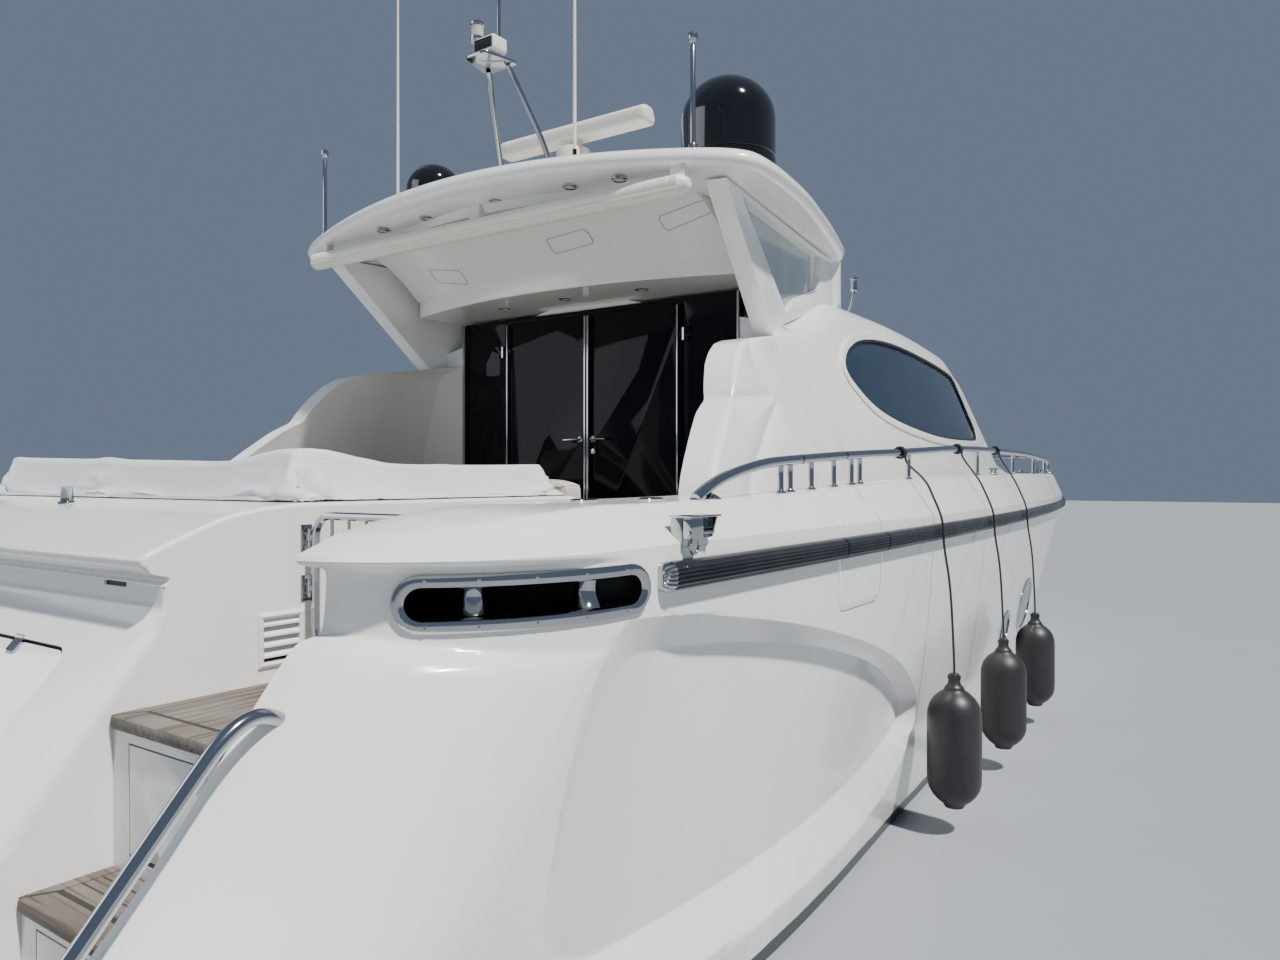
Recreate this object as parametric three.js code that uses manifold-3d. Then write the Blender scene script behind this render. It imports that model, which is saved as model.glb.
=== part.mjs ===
// Motor yacht with a hardtop, afloat: hull, deckhouse, roof gear, rails, doors, gates, propellers, rudders.
// Millimetres, +Y to the bow, +X to starboard, +Z up. The origin is amidships, on the centreline, at the
// waterline.
import * as THREE from 'three';
import { mergeVertices } from 'three/addons/utils/BufferGeometryUtils.js';
import Module from 'manifold-3d';

const wasm = await Module();
wasm.setup();

// Driving dimensions
const GAP = 0.3;              // between pieces that touch
const RUN = 6;                // round pieces that move
const SOLE_Z = 1336;          // cockpit and saloon floor, top of the boards
const BOARD = 20;             // thickness of the teak boards
const PLATFORM_Z = 480;       // top of the swim platform
const TREAD_Z = 910;          // middle stair tread
const LANDING_Y = -7712;      // nose of the landing at the head of the stairs
const TREAD_Y = -7944;        // nose of the middle tread
const STAIR_IN = 1300;        // stair passage, inner side
const STAIR_OUT = 1900;       // stair passage, outer side
const HULL_AFT = -8800;       // transom below the platform
const PLATFORM_AFT = -9600;   // aft edge of the swim platform
const BULKHEAD_Y = -3820;     // saloon bulkhead with the doors
const DOOR_HALF = 1215;       // half-width of the door opening
const LEAF_HALF = 780;        // hinge line of each door leaf from the centreline
const DOOR_TOP = 3185;        // top of the door opening
const WALL = 70;              // deckhouse wall
const BULKHEAD = 84;          // thickness of the saloon bulkhead
const ROOF_EDGE_Z = 3680;     // hardtop, top of the side edge
const ROOF_CROWN = 110;       // rise of the hardtop at the centreline
const BRIM = 126;             // thickness of the hardtop's brim
const TUBE_R = 23;            // handrail tube
const SIDES = 6;              // facets round a tube
const WELL_Z = PLATFORM_Z - 130;      // floor of the well that the swim platform fills
const COCKPIT = { half: 1700, aft: -5650 };
const SALOON = { half: 1620, fwd: 900 };
const SOFA = { aft: -5600, fwd: -4980 };
const SHAFT = { x: 760, tilt: 0.19, hubY: -7550, hubZ: -930, length: 2600, r: 35 };
const RUDDER = {
  stockY: -8100, gland: -640, glandTop: -420, aft: -8330, fwd: -7960, head: -700, foot: -1330, half: 28,
    stockR: 40,
};
const HATCH = { half: 300, aft: 6330, fwd: 6920, deck: 1880, rim: 1945, wall: 40, lid: 26, corner: 60 };
const SEAM = 14;              // how far the riser lockers lie behind the treads' noses
// Lockers in the stair risers: a small door in each, hinged along its foot
const LOCKERS = [
  { name: 'upper', y: LANDING_Y + SEAM, thick: 18, in_: 1390, out: 1770, bottom: 962, top: 1262 },
  { name: 'lower', y: TREAD_Y + SEAM, thick: 18, in_: 1390, out: 1770, bottom: 532, top: 842 },
];
const PORTS = { starboard: 1, port: -1 };

// Colours and finishes
const finish = (color, roughness,
  metalness = 0) => new THREE.MeshStandardMaterial({ color, roughness, metalness });
const gelcoat = finish(0xf1efe8, 0.25);
const steel = finish(0xc8ccd0, 0.15, 1);
const teak = finish(0x7d6f60, 0.8);
const blackGlass = finish(0x0b0d10, 0.05);
const blueGlass = finish(0x16222e, 0.05);
const blackRubber = finish(0x1b1c1f, 0.55);
const blackGloss = finish(0x08090a, 0.1);
const cream = finish(0xe9e6da, 0.4);
const coverCloth = finish(0xdfe1e2, 0.9);
const cushion = finish(0xd9d5c9, 0.8);
const bronze = finish(0x9a7a45, 0.35, 1);

const yacht = new THREE.Group();
const { PI, cos, sin, min, max } = Math;
const V = (x, y, z) => new THREE.Vector3(x, y, z);

// Geometry helpers: every one gives a closed solid
function solid(geometry) {
  const bare = new THREE.BufferGeometry();
  bare.setAttribute('position', geometry.getAttribute('position').clone());
  if (geometry.index) bare.setIndex(geometry.index.clone());
  const merged = mergeVertices(bare, 0.01);
  return new wasm.Manifold(new wasm.Mesh({
    numProp: 3,
    vertProperties: new Float32Array(merged.getAttribute('position').array),
    triVerts: new Uint32Array(merged.index.array),
  }));
}

function geometryOf(body) {
  const { vertProperties, triVerts } = body.getMesh();
  const geometry = new THREE.BufferGeometry();
  geometry.setAttribute('position', new THREE.BufferAttribute(new Float32Array(vertProperties), 3));
  geometry.setIndex(new THREE.BufferAttribute(new Uint32Array(triVerts), 1));
  return geometry;
}

// Turns the triangles over where they point inwards
function outward(positions, index) {
  let volume = 0;
  const at = (i) => V(positions[3 * i], positions[3 * i + 1], positions[3 * i + 2]);
  for (let i = 0; i < index.length; i += 3) {
    volume += at(index[i]).dot(at(index[i + 1]).cross(at(index[i + 2])));
  }
  if (volume > 0) return index;
  return index.map((_, i) => index[i - (i % 3) + [0, 2, 1][i % 3]]);
}

// A skin through rings of equal point counts, closed by a flat cap at each end
function loft(rings) {
  const count = rings[0].length;
  const positions = rings.flat().flatMap((p) => [p.x, p.y, p.z]);
  const index = [];
  for (let i = 0; i + 1 < rings.length; i++) {
    for (let j = 0; j < count; j++) {
      const [a, b] = [i * count + j, i * count + ((j + 1) % count)];
      const [c, d] = [a + count, b + count];
      index.push(a, b, d, a, d, c);
    }
  }
  const last = (rings.length - 1) * count;
  for (const [a, b, c] of capOf(rings[0])) index.push(a, c, b);
  for (const [a, b, c] of capOf(rings.at(-1))) index.push(last + a, last + b, last + c);
  const geometry = new THREE.BufferGeometry();
  geometry.setAttribute('position', new THREE.Float32BufferAttribute(positions, 3));
  geometry.setIndex(outward(positions, index));
  return geometry;
}

// Triangles over a flat ring, in the ring's own direction
function capOf(ring) {
  const normal = V(0, 0, 0);
  ring.forEach((p, i) => normal.add(p.clone().cross(ring[(i + 1) % ring.length])));
  const flat = new THREE.Matrix4()
    .lookAt(normal.normalize(), V(0, 0, 0), Math.abs(normal.z) > 0.9 ? V(0, 1, 0) : V(0, 0, 1)).invert();
  const turned = ring.map((p) => p.clone().applyMatrix4(flat));
  return THREE.ShapeUtils.triangulateShape(turned.map((p) => new THREE.Vector2(p.x, p.y)), []);
}

const shapeOf = (points) => new THREE.Shape(points.map(([u, v]) => new THREE.Vector2(u, v)));
const FLAT = { bevelEnabled: false, curveSegments: 3 };

// Outlines drawn from above, from the side (Y, Z) and from behind (X, Z)
function fromAbove(shape, z0, z1, steps = 1) {
  return new THREE.ExtrudeGeometry(shape, { ...FLAT, depth: z1 - z0, steps }).translate(0, 0, z0);
}
function fromSide(shape, x0, x1) {
  const turn = new THREE.Matrix4().makeBasis(V(0, 1, 0), V(0, 0, 1), V(1, 0, 0));
  return new THREE.ExtrudeGeometry(shape, { ...FLAT, depth: x1 - x0 }).applyMatrix4(turn).translate(x0, 0, 0);
}
function fromBehind(shape, y0, y1) {
  const turn = new THREE.Matrix4().makeBasis(V(1, 0, 0), V(0, 0, 1), V(0, -1, 0));
  return new THREE.ExtrudeGeometry(shape, { ...FLAT, depth: y1 - y0 }).applyMatrix4(turn).translate(0, y1, 0);
}
function box(x0, x1, y0, y1, z0, z1) {
  return new THREE.BoxGeometry(x1 - x0, y1 - y0, z1 - z0)
    .translate((x0 + x1) / 2, (y0 + y1) / 2, (z0 + z1) / 2);
}
// Box given by its inner and outer distance from the centreline, on one side of the boat
function sideBox(side, in_, out, y0, y1, z0, z1) {
  return box(min(side * in_, side * out), max(side * in_, side * out), y0, y1, z0, z1);
}
function rod(from, to, r0, r1 = r0, sides = SIDES) {
  const axis = to.clone().sub(from);
  const turn = new THREE.Quaternion().setFromUnitVectors(V(0, 1, 0), axis.clone().normalize());
  const middle = from.clone().add(to).multiplyScalar(0.5);
  return new THREE.CylinderGeometry(r1, r0, axis.length(), sides).applyQuaternion(turn)
    .translate(middle.x, middle.y, middle.z);
}
// Tube of even thickness through points, bent along one smooth curve
function bentTube(points, radius, steps, sides = SIDES) {
  const path = new THREE.CatmullRomCurve3(points, false, 'centripetal');
  const circle = new THREE.EllipseCurve(0, 0, radius, radius, 0, 2 * PI).getPoints(sides).slice(0, -1);
  return new THREE.ExtrudeGeometry(new THREE.Shape(circle), { extrudePath: path, steps, bevelEnabled: false });
}
function rounded(u0, u1, v0, v1, r) {
  const shape = new THREE.Shape();
  shape.moveTo(u0 + r, v0);
  shape.lineTo(u1 - r, v0).absarc(u1 - r, v0 + r, r, -PI / 2, 0);
  shape.lineTo(u1, v1 - r).absarc(u1 - r, v1 - r, r, 0, PI / 2);
  shape.lineTo(u0 + r, v1).absarc(u0 + r, v1 - r, r, PI / 2, PI);
  shape.lineTo(u0, v0 + r).absarc(u0 + r, v0 + r, r, PI, 1.5 * PI);
  return shape;
}
// Turned about Z from (radius, height) pairs
function turnedOn(profile, sides) {
  return new THREE.LatheGeometry(profile.map(([r, z]) => new THREE.Vector2(r, z)), sides).rotateX(PI / 2);
}
const join = (...geometries) => geometries.map(solid).reduce((a, b) => a.add(b));
const moved = (body, x, y, z) => body.translate([x, y, z]);
// Drops the offcuts that lie beyond what a piece was cut to
const trimmed = (body) => body.decompose().reduce((a, b) => (a.volume() > b.volume() ? a : b));

// Value of a table's columns at a place along the boat
function along(table, y) {
  if (y <= table[0][0]) return table[0].slice(1);
  for (let i = 0; i + 1 < table.length; i++) {
    const [a, b] = [table[i], table[i + 1]];
    if (y > b[0]) continue;
    const share = (y - a[0]) / (b[0] - a[0]);
    return a.slice(1).map((value, k) => value + (b[k + 1] - value) * share);
  }
  return table.at(-1).slice(1);
}

function add(name, body, material) {
  const mesh = new THREE.Mesh(body instanceof THREE.BufferGeometry ? body : geometryOf(body), material);
  mesh.name = name;
  yacht.add(mesh);
}

// Hull sections. Columns: y at rail height, rake, keel z, chine half-breadth, chine z, middle half-breadth,
// rail half-breadth, bulwark half-breadth, bulwark z, inner half-breadth, deck z
const RAIL_Z = 1690;
const HULL = [
  [-9000, 0.00, -690, 2230, -60, 2350, 2390, 2290, 1905, 1900, 1316],
  [-7400, 0.00, -750, 2245, -60, 2365, 2410, 2310, 1915, 1900, 1316],
  [-5650, 0.00, -810, 2240, -55, 2365, 2415, 2300, 1925, 1900, 1316],
  [-5560, 0.00, -810, 2240, -55, 2365, 2415, 2295, 1928, 2120, 1380],
  [-3500, 0.00, -850, 2130, -40, 2290, 2375, 2240, 1995, 2100, 1400],
  [-1500, 0.00, -870, 2020, -10, 2180, 2285, 2150, 2025, 2010, 1500],
  [500, 0.05, -860, 1860, 40, 2000, 2130, 1995, 2040, 1860, 1640],
  [2500, 0.15, -800, 1570, 140, 1760, 1915, 1785, 2050, 1660, 1770],
  [4500, 0.35, -650, 1230, 280, 1420, 1600, 1480, 2060, 1360, 1850],
  [6200, 0.65, -450, 860, 430, 1040, 1240, 1130, 2070, 1020, 1885],
  [7600, 0.95, -330, 560, 580, 710, 880, 780, 2075, 680, 1900],
  [8700, 1.15, -290, 300, 720, 390, 500, 420, 2080, 340, 1905],
  [9350, 1.20, -270, 130, 820, 180, 250, 190, 2080, 110, 1905],
  [9650, 1.20, -250, 30, 900, 40, 60, 40, 2080, 12, 1905],
];
const CHINE_FLAT = 90;
const DECK_CAMBER = 20;

function hullRing([y, rake, keelZ, chine, chineZ, middle, rail, top, topZ, inner, deckZ]) {
  const lift = (x, z) => V(x, y + rake * (z - RAIL_Z) * (z > RAIL_Z ? 0.15 : 1), z);
  const flat = min(CHINE_FLAT, chine * 0.5);
  const half = [
    lift(chine - flat, chineZ - 30), lift(chine, chineZ), lift(middle, (chineZ + RAIL_Z) / 2),
      lift(rail, RAIL_Z),
    lift(rail * 0.99 + top * 0.01, RAIL_Z + 90), lift(top * 0.75 + rail * 0.25, topZ - 70), lift(top, topZ),
    lift(inner, topZ), lift(inner * 0.99, deckZ),
  ];
  const mirror = half.map((p) => V(-p.x, p.y, p.z)).reverse();
  const camber = deckZ > SOLE_Z ? DECK_CAMBER * min(1, inner / 1500) : 0;
  return [lift(0, keelZ), ...half, lift(0, deckZ + camber), ...mirror];
}

// Half-breadth of the hull's side at a place and a height
function sideOf(y, z) {
  const [, , chine, chineZ, middle, rail] = along(HULL, y);
  const middleZ = (chineZ + RAIL_Z) / 2;
  if (z < middleZ) return chine + (middle - chine) * (z - chineZ) / (middleZ - chineZ);
  return middle + (rail - middle) * (min(z, RAIL_Z) - middleZ) / (RAIL_Z - middleZ);
}

// Stern quarters: rounded in plan, raked in profile. Columns: z, y of the aft edge
const STERN_RAKE = [
  [-1200, HULL_AFT], [150, HULL_AFT], [440, -8500], [965, -8045], [1090, -7925], [1500, -7590], [1560, -7535],
  [1600, -7470], [1745, -7440], [1785, -7530], [1850, -7530], [1900, -7440], [2400, -7000],
];
const QUARTER = { x: 1850, across: 610, along: 860, steps: 5 };

function sternPlan(y, grow = 0) {
  const points = [V(-(QUARTER.x + QUARTER.across + grow), 11000, 0)];
  const corner = (side, from, to) => {
    for (let i = 0; i <= QUARTER.steps; i++) {
      const turn = from + (to - from) * i / QUARTER.steps;
      points.push(V(side * (QUARTER.x + (QUARTER.across + grow) * sin(turn)),
        y + QUARTER.along - (QUARTER.along + grow) * cos(turn), 0));
    }
  };
  corner(-1, PI / 2, 0);
  corner(1, 0, PI / 2);
  points.push(V(QUARTER.x + QUARTER.across + grow, 11000, 0));
  return points;
}

// Mooring ports in the stern quarters: a level slot with round ends, seen along the quarter's slanted normal
const MOORING = { y: -7440, z: 1655, height: 156, half: 385, depth: 300, turn: 0.68 };

function mooringSlot(side, growth, inward, outwardBy) {
  const r = MOORING.height / 2 + growth;
  const long = MOORING.half - MOORING.height / 2;
  const shape = new THREE.Shape();
  shape.moveTo(-long, -r).lineTo(long, -r).absarc(long, 0, r, -PI / 2, PI / 2);
  shape.lineTo(-long, r).absarc(-long, 0, r, PI / 2, 1.5 * PI);
  const geometry = new THREE.ExtrudeGeometry(shape, { ...FLAT, depth: inward + outwardBy, steps: 1 })
    .translate(0, 0, -inward);
  const normal = V(side * cos(MOORING.turn), -sin(MOORING.turn), 0);
  const level = V(0, 0, 1).cross(normal).negate();
  const frame = new THREE.Matrix4().makeBasis(level.clone().negate(), V(0, 0, 1), normal);
  const centre = V(
    side * (QUARTER.x + QUARTER.across * cos(MOORING.turn)),
    MOORING.y + QUARTER.along * (1 - sin(MOORING.turn)),
    MOORING.z,
  );
  const slot = solid(geometry.applyMatrix4(frame).translate(centre.x, centre.y, centre.z));
  return { solid: slot, centre, normal, level };
}

// Side gate in the bulwark
const GATE = { aft: -5150, fwd: -4600, sill: 1402, radius: 60, out: 2600, in_: 2000, top: 2200 };
function gateBlock(side, gap) {
  const shape = rounded(GATE.aft + gap, GATE.fwd - gap, GATE.sill + gap, GATE.top, GATE.radius);
  return solid(fromSide(shape, side > 0 ? GATE.in_ : -GATE.out, side > 0 ? GATE.out : -GATE.in_));
}

// Sunk panel in each topside. Columns: y, z of the outer outline, y, z of the floor outline
const RELIEF = [
  [-7150, 1600, -7150, 1490], [-6530, 1569, -6530, 1452], [-5900, 1483, -5900, 1382],
  [-5180, 1337, -5200, 1264],
  [-4390, 1120, -4400, 1058], [-3960, 930, -4020, 890], [-3700, 740, -3800, 740], [-3650, 630, -3760, 650],
  [-3730, 470, -3830, 560],
  [-4030, 300, -4200, 490], [-4470, 215, -4590, 449], [-5200, 200, -5200, 430], [-6100, 245, -6050, 440],
  [-7150, 420, -7150, 560],
];
const RELIEF_DEPTH = 85;
const RELIEF_RAMP = 1300;      // length over which it sinks to its full depth

function reliefCutter(side) {
  const start = RELIEF[0][0];
  const depthAt = (y) => RELIEF_DEPTH * min(1, max(0.02, (y - start) / RELIEF_RAMP));
  const outer = RELIEF.map(([y, z]) => V(side * (sideOf(y, z) + 120), y, z));
  const brink = RELIEF.map(([y, z]) => V(side * (sideOf(y, z) + 1), y, z));
  const floor = RELIEF.map(([, , y, z]) => V(side * (sideOf(y, z) - depthAt(y)), y, z));
  return solid(loft([outer, brink, floor]));
}

function makeHull() {
  let hull = solid(loft(HULL.map(hullRing)));
  const stern = solid(loft(STERN_RAKE.map(([z, y]) => sternPlan(y).map((p) => V(p.x, p.y, z)))));
  hull = hull.intersect(stern);
  const [astern, sky] = [-9500, 2400];
  hull = hull.subtract(solid(box(-STAIR_IN, STAIR_IN, astern, SOFA.aft, WELL_Z, sky)))
    .subtract(solid(box(-COCKPIT.half, COCKPIT.half, COCKPIT.aft, BULKHEAD_Y + 42, SOLE_Z - BOARD, sky)))
    .subtract(solid(box(-SALOON.half, SALOON.half, BULKHEAD_Y + 40, SALOON.fwd, SOLE_Z, sky)));
  const [treadRiser, landingRiser] = [TREAD_Y + SEAM, LANDING_Y + SEAM];
  const steps = shapeOf([
    [astern, WELL_Z], [treadRiser, WELL_Z], [treadRiser, TREAD_Z - BOARD], [TREAD_Y, TREAD_Z - BOARD],
    [TREAD_Y, TREAD_Z], [landingRiser, TREAD_Z], [landingRiser, SOLE_Z - BOARD], [LANDING_Y, SOLE_Z - BOARD],
    [LANDING_Y, sky], [astern, sky],
  ]);
  for (const side of Object.values(PORTS)) {
    const [x0, x1] = side > 0 ? [STAIR_IN - 1, STAIR_OUT] : [-STAIR_OUT, -STAIR_IN + 1];
    hull = hull.subtract(solid(fromSide(steps, x0, x1)));
    for (const { in_, out, y, thick, bottom, top } of LOCKERS) {
      const recess = sideBox(side, in_ - RUN, out + RUN, y - 60, y + thick + 3 * RUN, bottom - 14, top + RUN);
      hull = hull.subtract(solid(recess));
    }
    hull = hull.subtract(mooringSlot(side, 0, MOORING.depth, 300).solid);
    hull = hull.subtract(gateBlock(side, 0)).subtract(reliefCutter(side));
    const gland = [RUDDER.gland, RUDDER.glandTop].map((z) => V(side * SHAFT.x, RUDDER.stockY, z));
    hull = hull.add(solid(rod(...gland, 60, 80, 12)));
  }
  const { half, aft, fwd, wall, corner } = HATCH;
  const rim = rounded(-half, half, aft, fwd, corner);
  rim.holes.push(rounded(-half + wall, half - wall, aft + wall, fwd - wall, corner / 2));
  return hull.add(solid(fromAbove(rim, HATCH.deck, HATCH.rim)));
}

// Deckhouse sections. Columns: y, foot half-breadth, belt half-breadth, belt z, shoulder half-breadth,
// shoulder z, roof z
const HOUSE = [
  [-5700, 2040, 1975, 2000, 1640, 2780, 3240],
  [-4800, 1960, 1870, 2100, 1640, 2840, 3260],
  [-3900, 1890, 1800, 2200, 1610, 2880, 3290],
  [-2800, 1840, 1760, 2300, 1490, 3180, 3330],
  [-1000, 1740, 1640, 2350, 1350, 3220, 3370],
  [400, 1600, 1500, 2380, 1200, 3215, 3350],
  [1300, 1500, 1380, 2360, 1080, 3110, 3250],
  [3600, 1180, 1090, 2000, 930, 2220, 2290],
  [5200, 920, 850, 1960, 740, 2050, 2110],
  [6100, 640, 600, 1920, 500, 1965, 1990],
];
const HOUSE_FOOT = 1250;
// Side view of the deckhouse: its wings sweep down aft of the bulkhead
const HOUSE_PROFILE = [
  [-5620, HOUSE_FOOT - 50], [-5620, 1935], [-5480, 2010], [-5200, 2170], [-4940, 2405], [-4800, 2570],
  [-4670, 2715],
  [-4300, 2800], [BULKHEAD_Y - 42, 2865], [BULKHEAD_Y - 42, 3600], [6300, 3600], [6300, HOUSE_FOOT - 50],
];
const EYE = [
  [-3190, 2760], [-3060, 2870], [-2680, 2990], [-1940, 3066], [-1000, 3070], [600, 3050], [800, 2990],
  [1010, 2560], [960, 2420], [740, 2380],
  [-850, 2340], [-1750, 2370], [-2460, 2427], [-2870, 2508], [-3104, 2628], [-3190, 2700],
];
const SCREEN_CUT = { aft: 1420, fwd: 3420, halfAft: 960, halfFwd: 850 };

function houseRing([y, foot, belt, beltZ, shoulder, shoulderZ, roofZ], inset) {
  const half = [
    V(foot - inset, y, HOUSE_FOOT), V(belt - inset, y, beltZ),
    V(shoulder - inset, y, shoulderZ - inset * 0.6),
    V(shoulder - 160 - inset * 0.3, y, shoulderZ + 75 - inset),
  ];
  return [V(0, y, roofZ - inset), ...half.slice().reverse(), ...half.map((p) => V(-p.x, p.y, p.z))];
}
const houseLoft = (inset, from = -5700, to = 6100) => {
  const stations = [from, ...HOUSE.map(([y]) => y).filter((y) => y > from + 1 && y < to - 1), to];
  return solid(loft(stations.map((y) => houseRing([y, ...along(HOUSE, y)], inset))));
};
const EYE_MIDDLE = [-1100, 2700];
const eyeCutter = (side, shrink) => {
  const [cy, cz] = EYE_MIDDLE;
  const ring = EYE.map(([y, z]) => [y + Math.sign(cy - y) * shrink, z + Math.sign(cz - z) * shrink]);
  return solid(fromSide(shapeOf(ring), side > 0 ? 900 : -2100, side > 0 ? 2100 : -900));
};
const screenCutter = (shrink) => {
  const { aft, fwd, halfAft, halfFwd } = SCREEN_CUT;
  const ring = [
    [-halfAft + shrink, aft + shrink], [halfAft - shrink, aft + shrink],
    [halfFwd - shrink, fwd - shrink], [-halfFwd + shrink, fwd - shrink],
  ];
  return solid(fromAbove(shapeOf(ring), 1950, 3600));
};

const houseShape = () => houseLoft(0).intersect(solid(fromSide(shapeOf(HOUSE_PROFILE), -2600, 2600)));

function makeDeckhouse(hull) {
  const [aft, fwd] = [BULKHEAD_Y - BULKHEAD / 2, BULKHEAD_Y + BULKHEAD / 2];
  const doorway = box(-DOOR_HALF, DOOR_HALF, aft - 58, fwd + 58, HOUSE_FOOT - 20, DOOR_TOP);
  let house = houseShape().subtract(houseLoft(WALL, fwd, 3700)).subtract(houseLoft(2 * WALL, -5700, aft));
  house = house.subtract(solid(doorway));
  for (const side of Object.values(PORTS)) house = house.subtract(eyeCutter(side, 0));
  house = house.subtract(screenCutter(0));
  const floor = box(-COCKPIT.half, COCKPIT.half, -5700, 3800, 1000, SOLE_Z + GAP);
  return house.subtract(moved(hull, 0, 0, GAP)).subtract(solid(floor));
}

const GLASS = { outer: 14, inner: 26 };
function makeGlass() {
  const skin = houseLoft(GLASS.outer).subtract(houseLoft(GLASS.inner));
  add('windscreen', skin.intersect(screenCutter(GAP)), blueGlass);
  for (const [name, side] of Object.entries(PORTS)) {
    add(`side_window_${name}`, skin.intersect(eyeCutter(side, GAP)), blueGlass);
  }
}

// Hardtop. Columns: y at the side, half-breadth, how far the middle bows aft
const ROOF = [
  [-4890, 1760, 300], [-4810, 1830, 270], [-4650, 1840, 220], [-4200, 1800, 100], [-3600, 1680, 0],
  [-3000, 1530, 0], [-2700, 1440, 0],
  [-2450, 1270, 0], [-2250, 960, 0], [-2120, 500, 0],
];
const PLINTH = { half: 1350, aft: -4420, bow: 240, fwd: -2350, soffit: 3210 };
// Underside that slopes down from the aft edge to the plinth, seen from the side
const SOFFIT = [[-4960, 3580], [-4360, 3320], [-4360, 3250], [-4000, 3250], [-4000, 3600]];
const STUB = { x: 1510, y: -4910, height: 580, r: 16, ball: 26 };

function roofRing([y, half, bow], i) {
  const end = i === 0 || i === ROOF.length - 1 ? 40 : 0;
  const dome = (k) => 1 - k ** 2;
  const place = (k, z) => V(k * half, y - bow * dome(k), z);
  const top = [-0.97, -0.7, -0.35, 0, 0.35, 0.7,
    0.97].map((k) => place(k, ROOF_EDGE_Z + ROOF_CROWN * dome(k) - end));
  const under = [0.97, 0.6, 0, -0.6,
    -0.97].map((k) => place(k, ROOF_EDGE_Z - BRIM + ROOF_CROWN * dome(k) * 0.35 + end * 0.6));
  return [place(-1, ROOF_EDGE_Z - BRIM / 2), ...top, place(1, ROOF_EDGE_Z - BRIM / 2), ...under];
}

// Bowed outline of the plinth under the hardtop, over the doors
function plinthPlan({ half, aft, bow, fwd }) {
  const shape = new THREE.Shape().moveTo(-half, aft + bow);
  shape.quadraticCurveTo(0, aft - bow, half, aft + bow);
  shape.lineTo(half, fwd + 250).quadraticCurveTo(half, fwd, half - 300, fwd);
  shape.lineTo(-half + 300, fwd).quadraticCurveTo(-half, fwd, -half, fwd + 250);
  return shape;
}

function makeHardtop() {
  const slab = solid(loft(ROOF.map(roofRing)));
  const plinth = solid(fromAbove(plinthPlan(PLINTH), PLINTH.soffit, ROOF_EDGE_Z - BRIM + 40));
  const soffit = solid(fromSide(shapeOf(SOFFIT), -PLINTH.half + 20, PLINTH.half - 20));
  let top = slab.add(plinth).add(soffit);
  for (const side of Object.values(PORTS)) {
    const [foot, tip] = [-30, STUB.height].map((up) => V(side * STUB.x, STUB.y, ROOF_EDGE_Z + up));
    const ball = new THREE.SphereGeometry(STUB.ball, 8, 4).translate(tip.x, tip.y, tip.z);
    top = top.add(solid(rod(foot, tip, STUB.r))).add(solid(ball));
  }
  return trimmed(top.subtract(moved(houseShape(), 0, 0, GAP)));
}

// Side screens between the deckhouse's shoulders and the hardtop: a raked strut along the aft edge, a pane
// sunk in the outer face and a fin along the foot. Seen from the side
const SCREEN = { x: 1640, y: -4780, taper: 0.14, thick: 125, sunk: 55 };
const SCREEN_OUTLINE = [
  [-4880, 3640], [-4700, 3640], [-2560, 3640], [-1850, 3225], [-2450, 3000], [-3900, 2700], [-3980, 2800],
];
const PANE_OUTLINE = [[-4560, 3530], [-3780, 3020], [-3500, 3170], [-3080, 3290], [-3000, 3530]];

// A plate on its outline that leans with the deckhouse's side, between two depths in from the outer face
function screenPlate(side, outline, from, to) {
  const plate = fromSide(shapeOf(outline), from, to);
  const position = plate.getAttribute('position');
  for (let i = 0; i < position.count; i++) {
    const outside = SCREEN.x - SCREEN.taper * (position.getY(i) - SCREEN.y);
    position.setX(i, side * (outside - position.getX(i)));
  }
  return solid(side > 0 ? flipped(plate) : plate);
}

function makeSideScreen(side, hardtop) {
  const house = houseShape();
  const screen = screenPlate(side, SCREEN_OUTLINE, 0, SCREEN.thick)
    .subtract(screenPlate(side, PANE_OUTLINE, -50, SCREEN.sunk));
  return trimmed(screen.subtract(house).subtract(moved(house, 0, 0, GAP))
    .subtract(moved(house, side * GAP, 0, 0))
    .subtract(hardtop).subtract(moved(hardtop, 0, 0, -GAP)));
}
function flipped(geometry) {
  const copy = geometry.index ? geometry.toNonIndexed() : geometry;
  const position = copy.getAttribute('position');
  const turned = new Float32Array(position.array.length);
  for (let i = 0; i < position.count; i++) {
    const from = i - (i % 3) + [0, 2, 1][i % 3];
    turned.set([position.getX(from), position.getY(from), position.getZ(from)], 3 * i);
  }
  const result = new THREE.BufferGeometry();
  result.setAttribute('position', new THREE.BufferAttribute(turned, 3));
  return result;
}

// Sunbed and garage moulding between the stairs, seen from the side
const SLOPE = { foot: [-8480, 500], head: [-7540, 1600] };
const slopeZ = (y) => {
  const [[y0, z0], [y1, z1]] = [SLOPE.foot, SLOPE.head];
  return z0 + (y - y0) * (z1 - z0) / (y1 - y0);
};
const MOULDING = [
  [-8480, WELL_Z + 1], SLOPE.foot, SLOPE.head, [-7540, 1715], [-7620, 1722], [-7625, 1765], [-7545, 1806],
  [-7346, 1884], [-7095, 1916],
  [SOFA.aft - GAP, 1916], [SOFA.aft - GAP, WELL_Z + 1],
];
const GARAGE = {
  half: 950, foot: [-8330, slopeZ(-8330)], head: [-7650, slopeZ(-7650)], thick: 60, aft: -8180, fwd: -6300,
    floor: 560, ceiling: 1440,
};
const VENT = { deep: 25, aft: -7250, fwd: -7080, bottom: 1385, top: 1560 };

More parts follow.
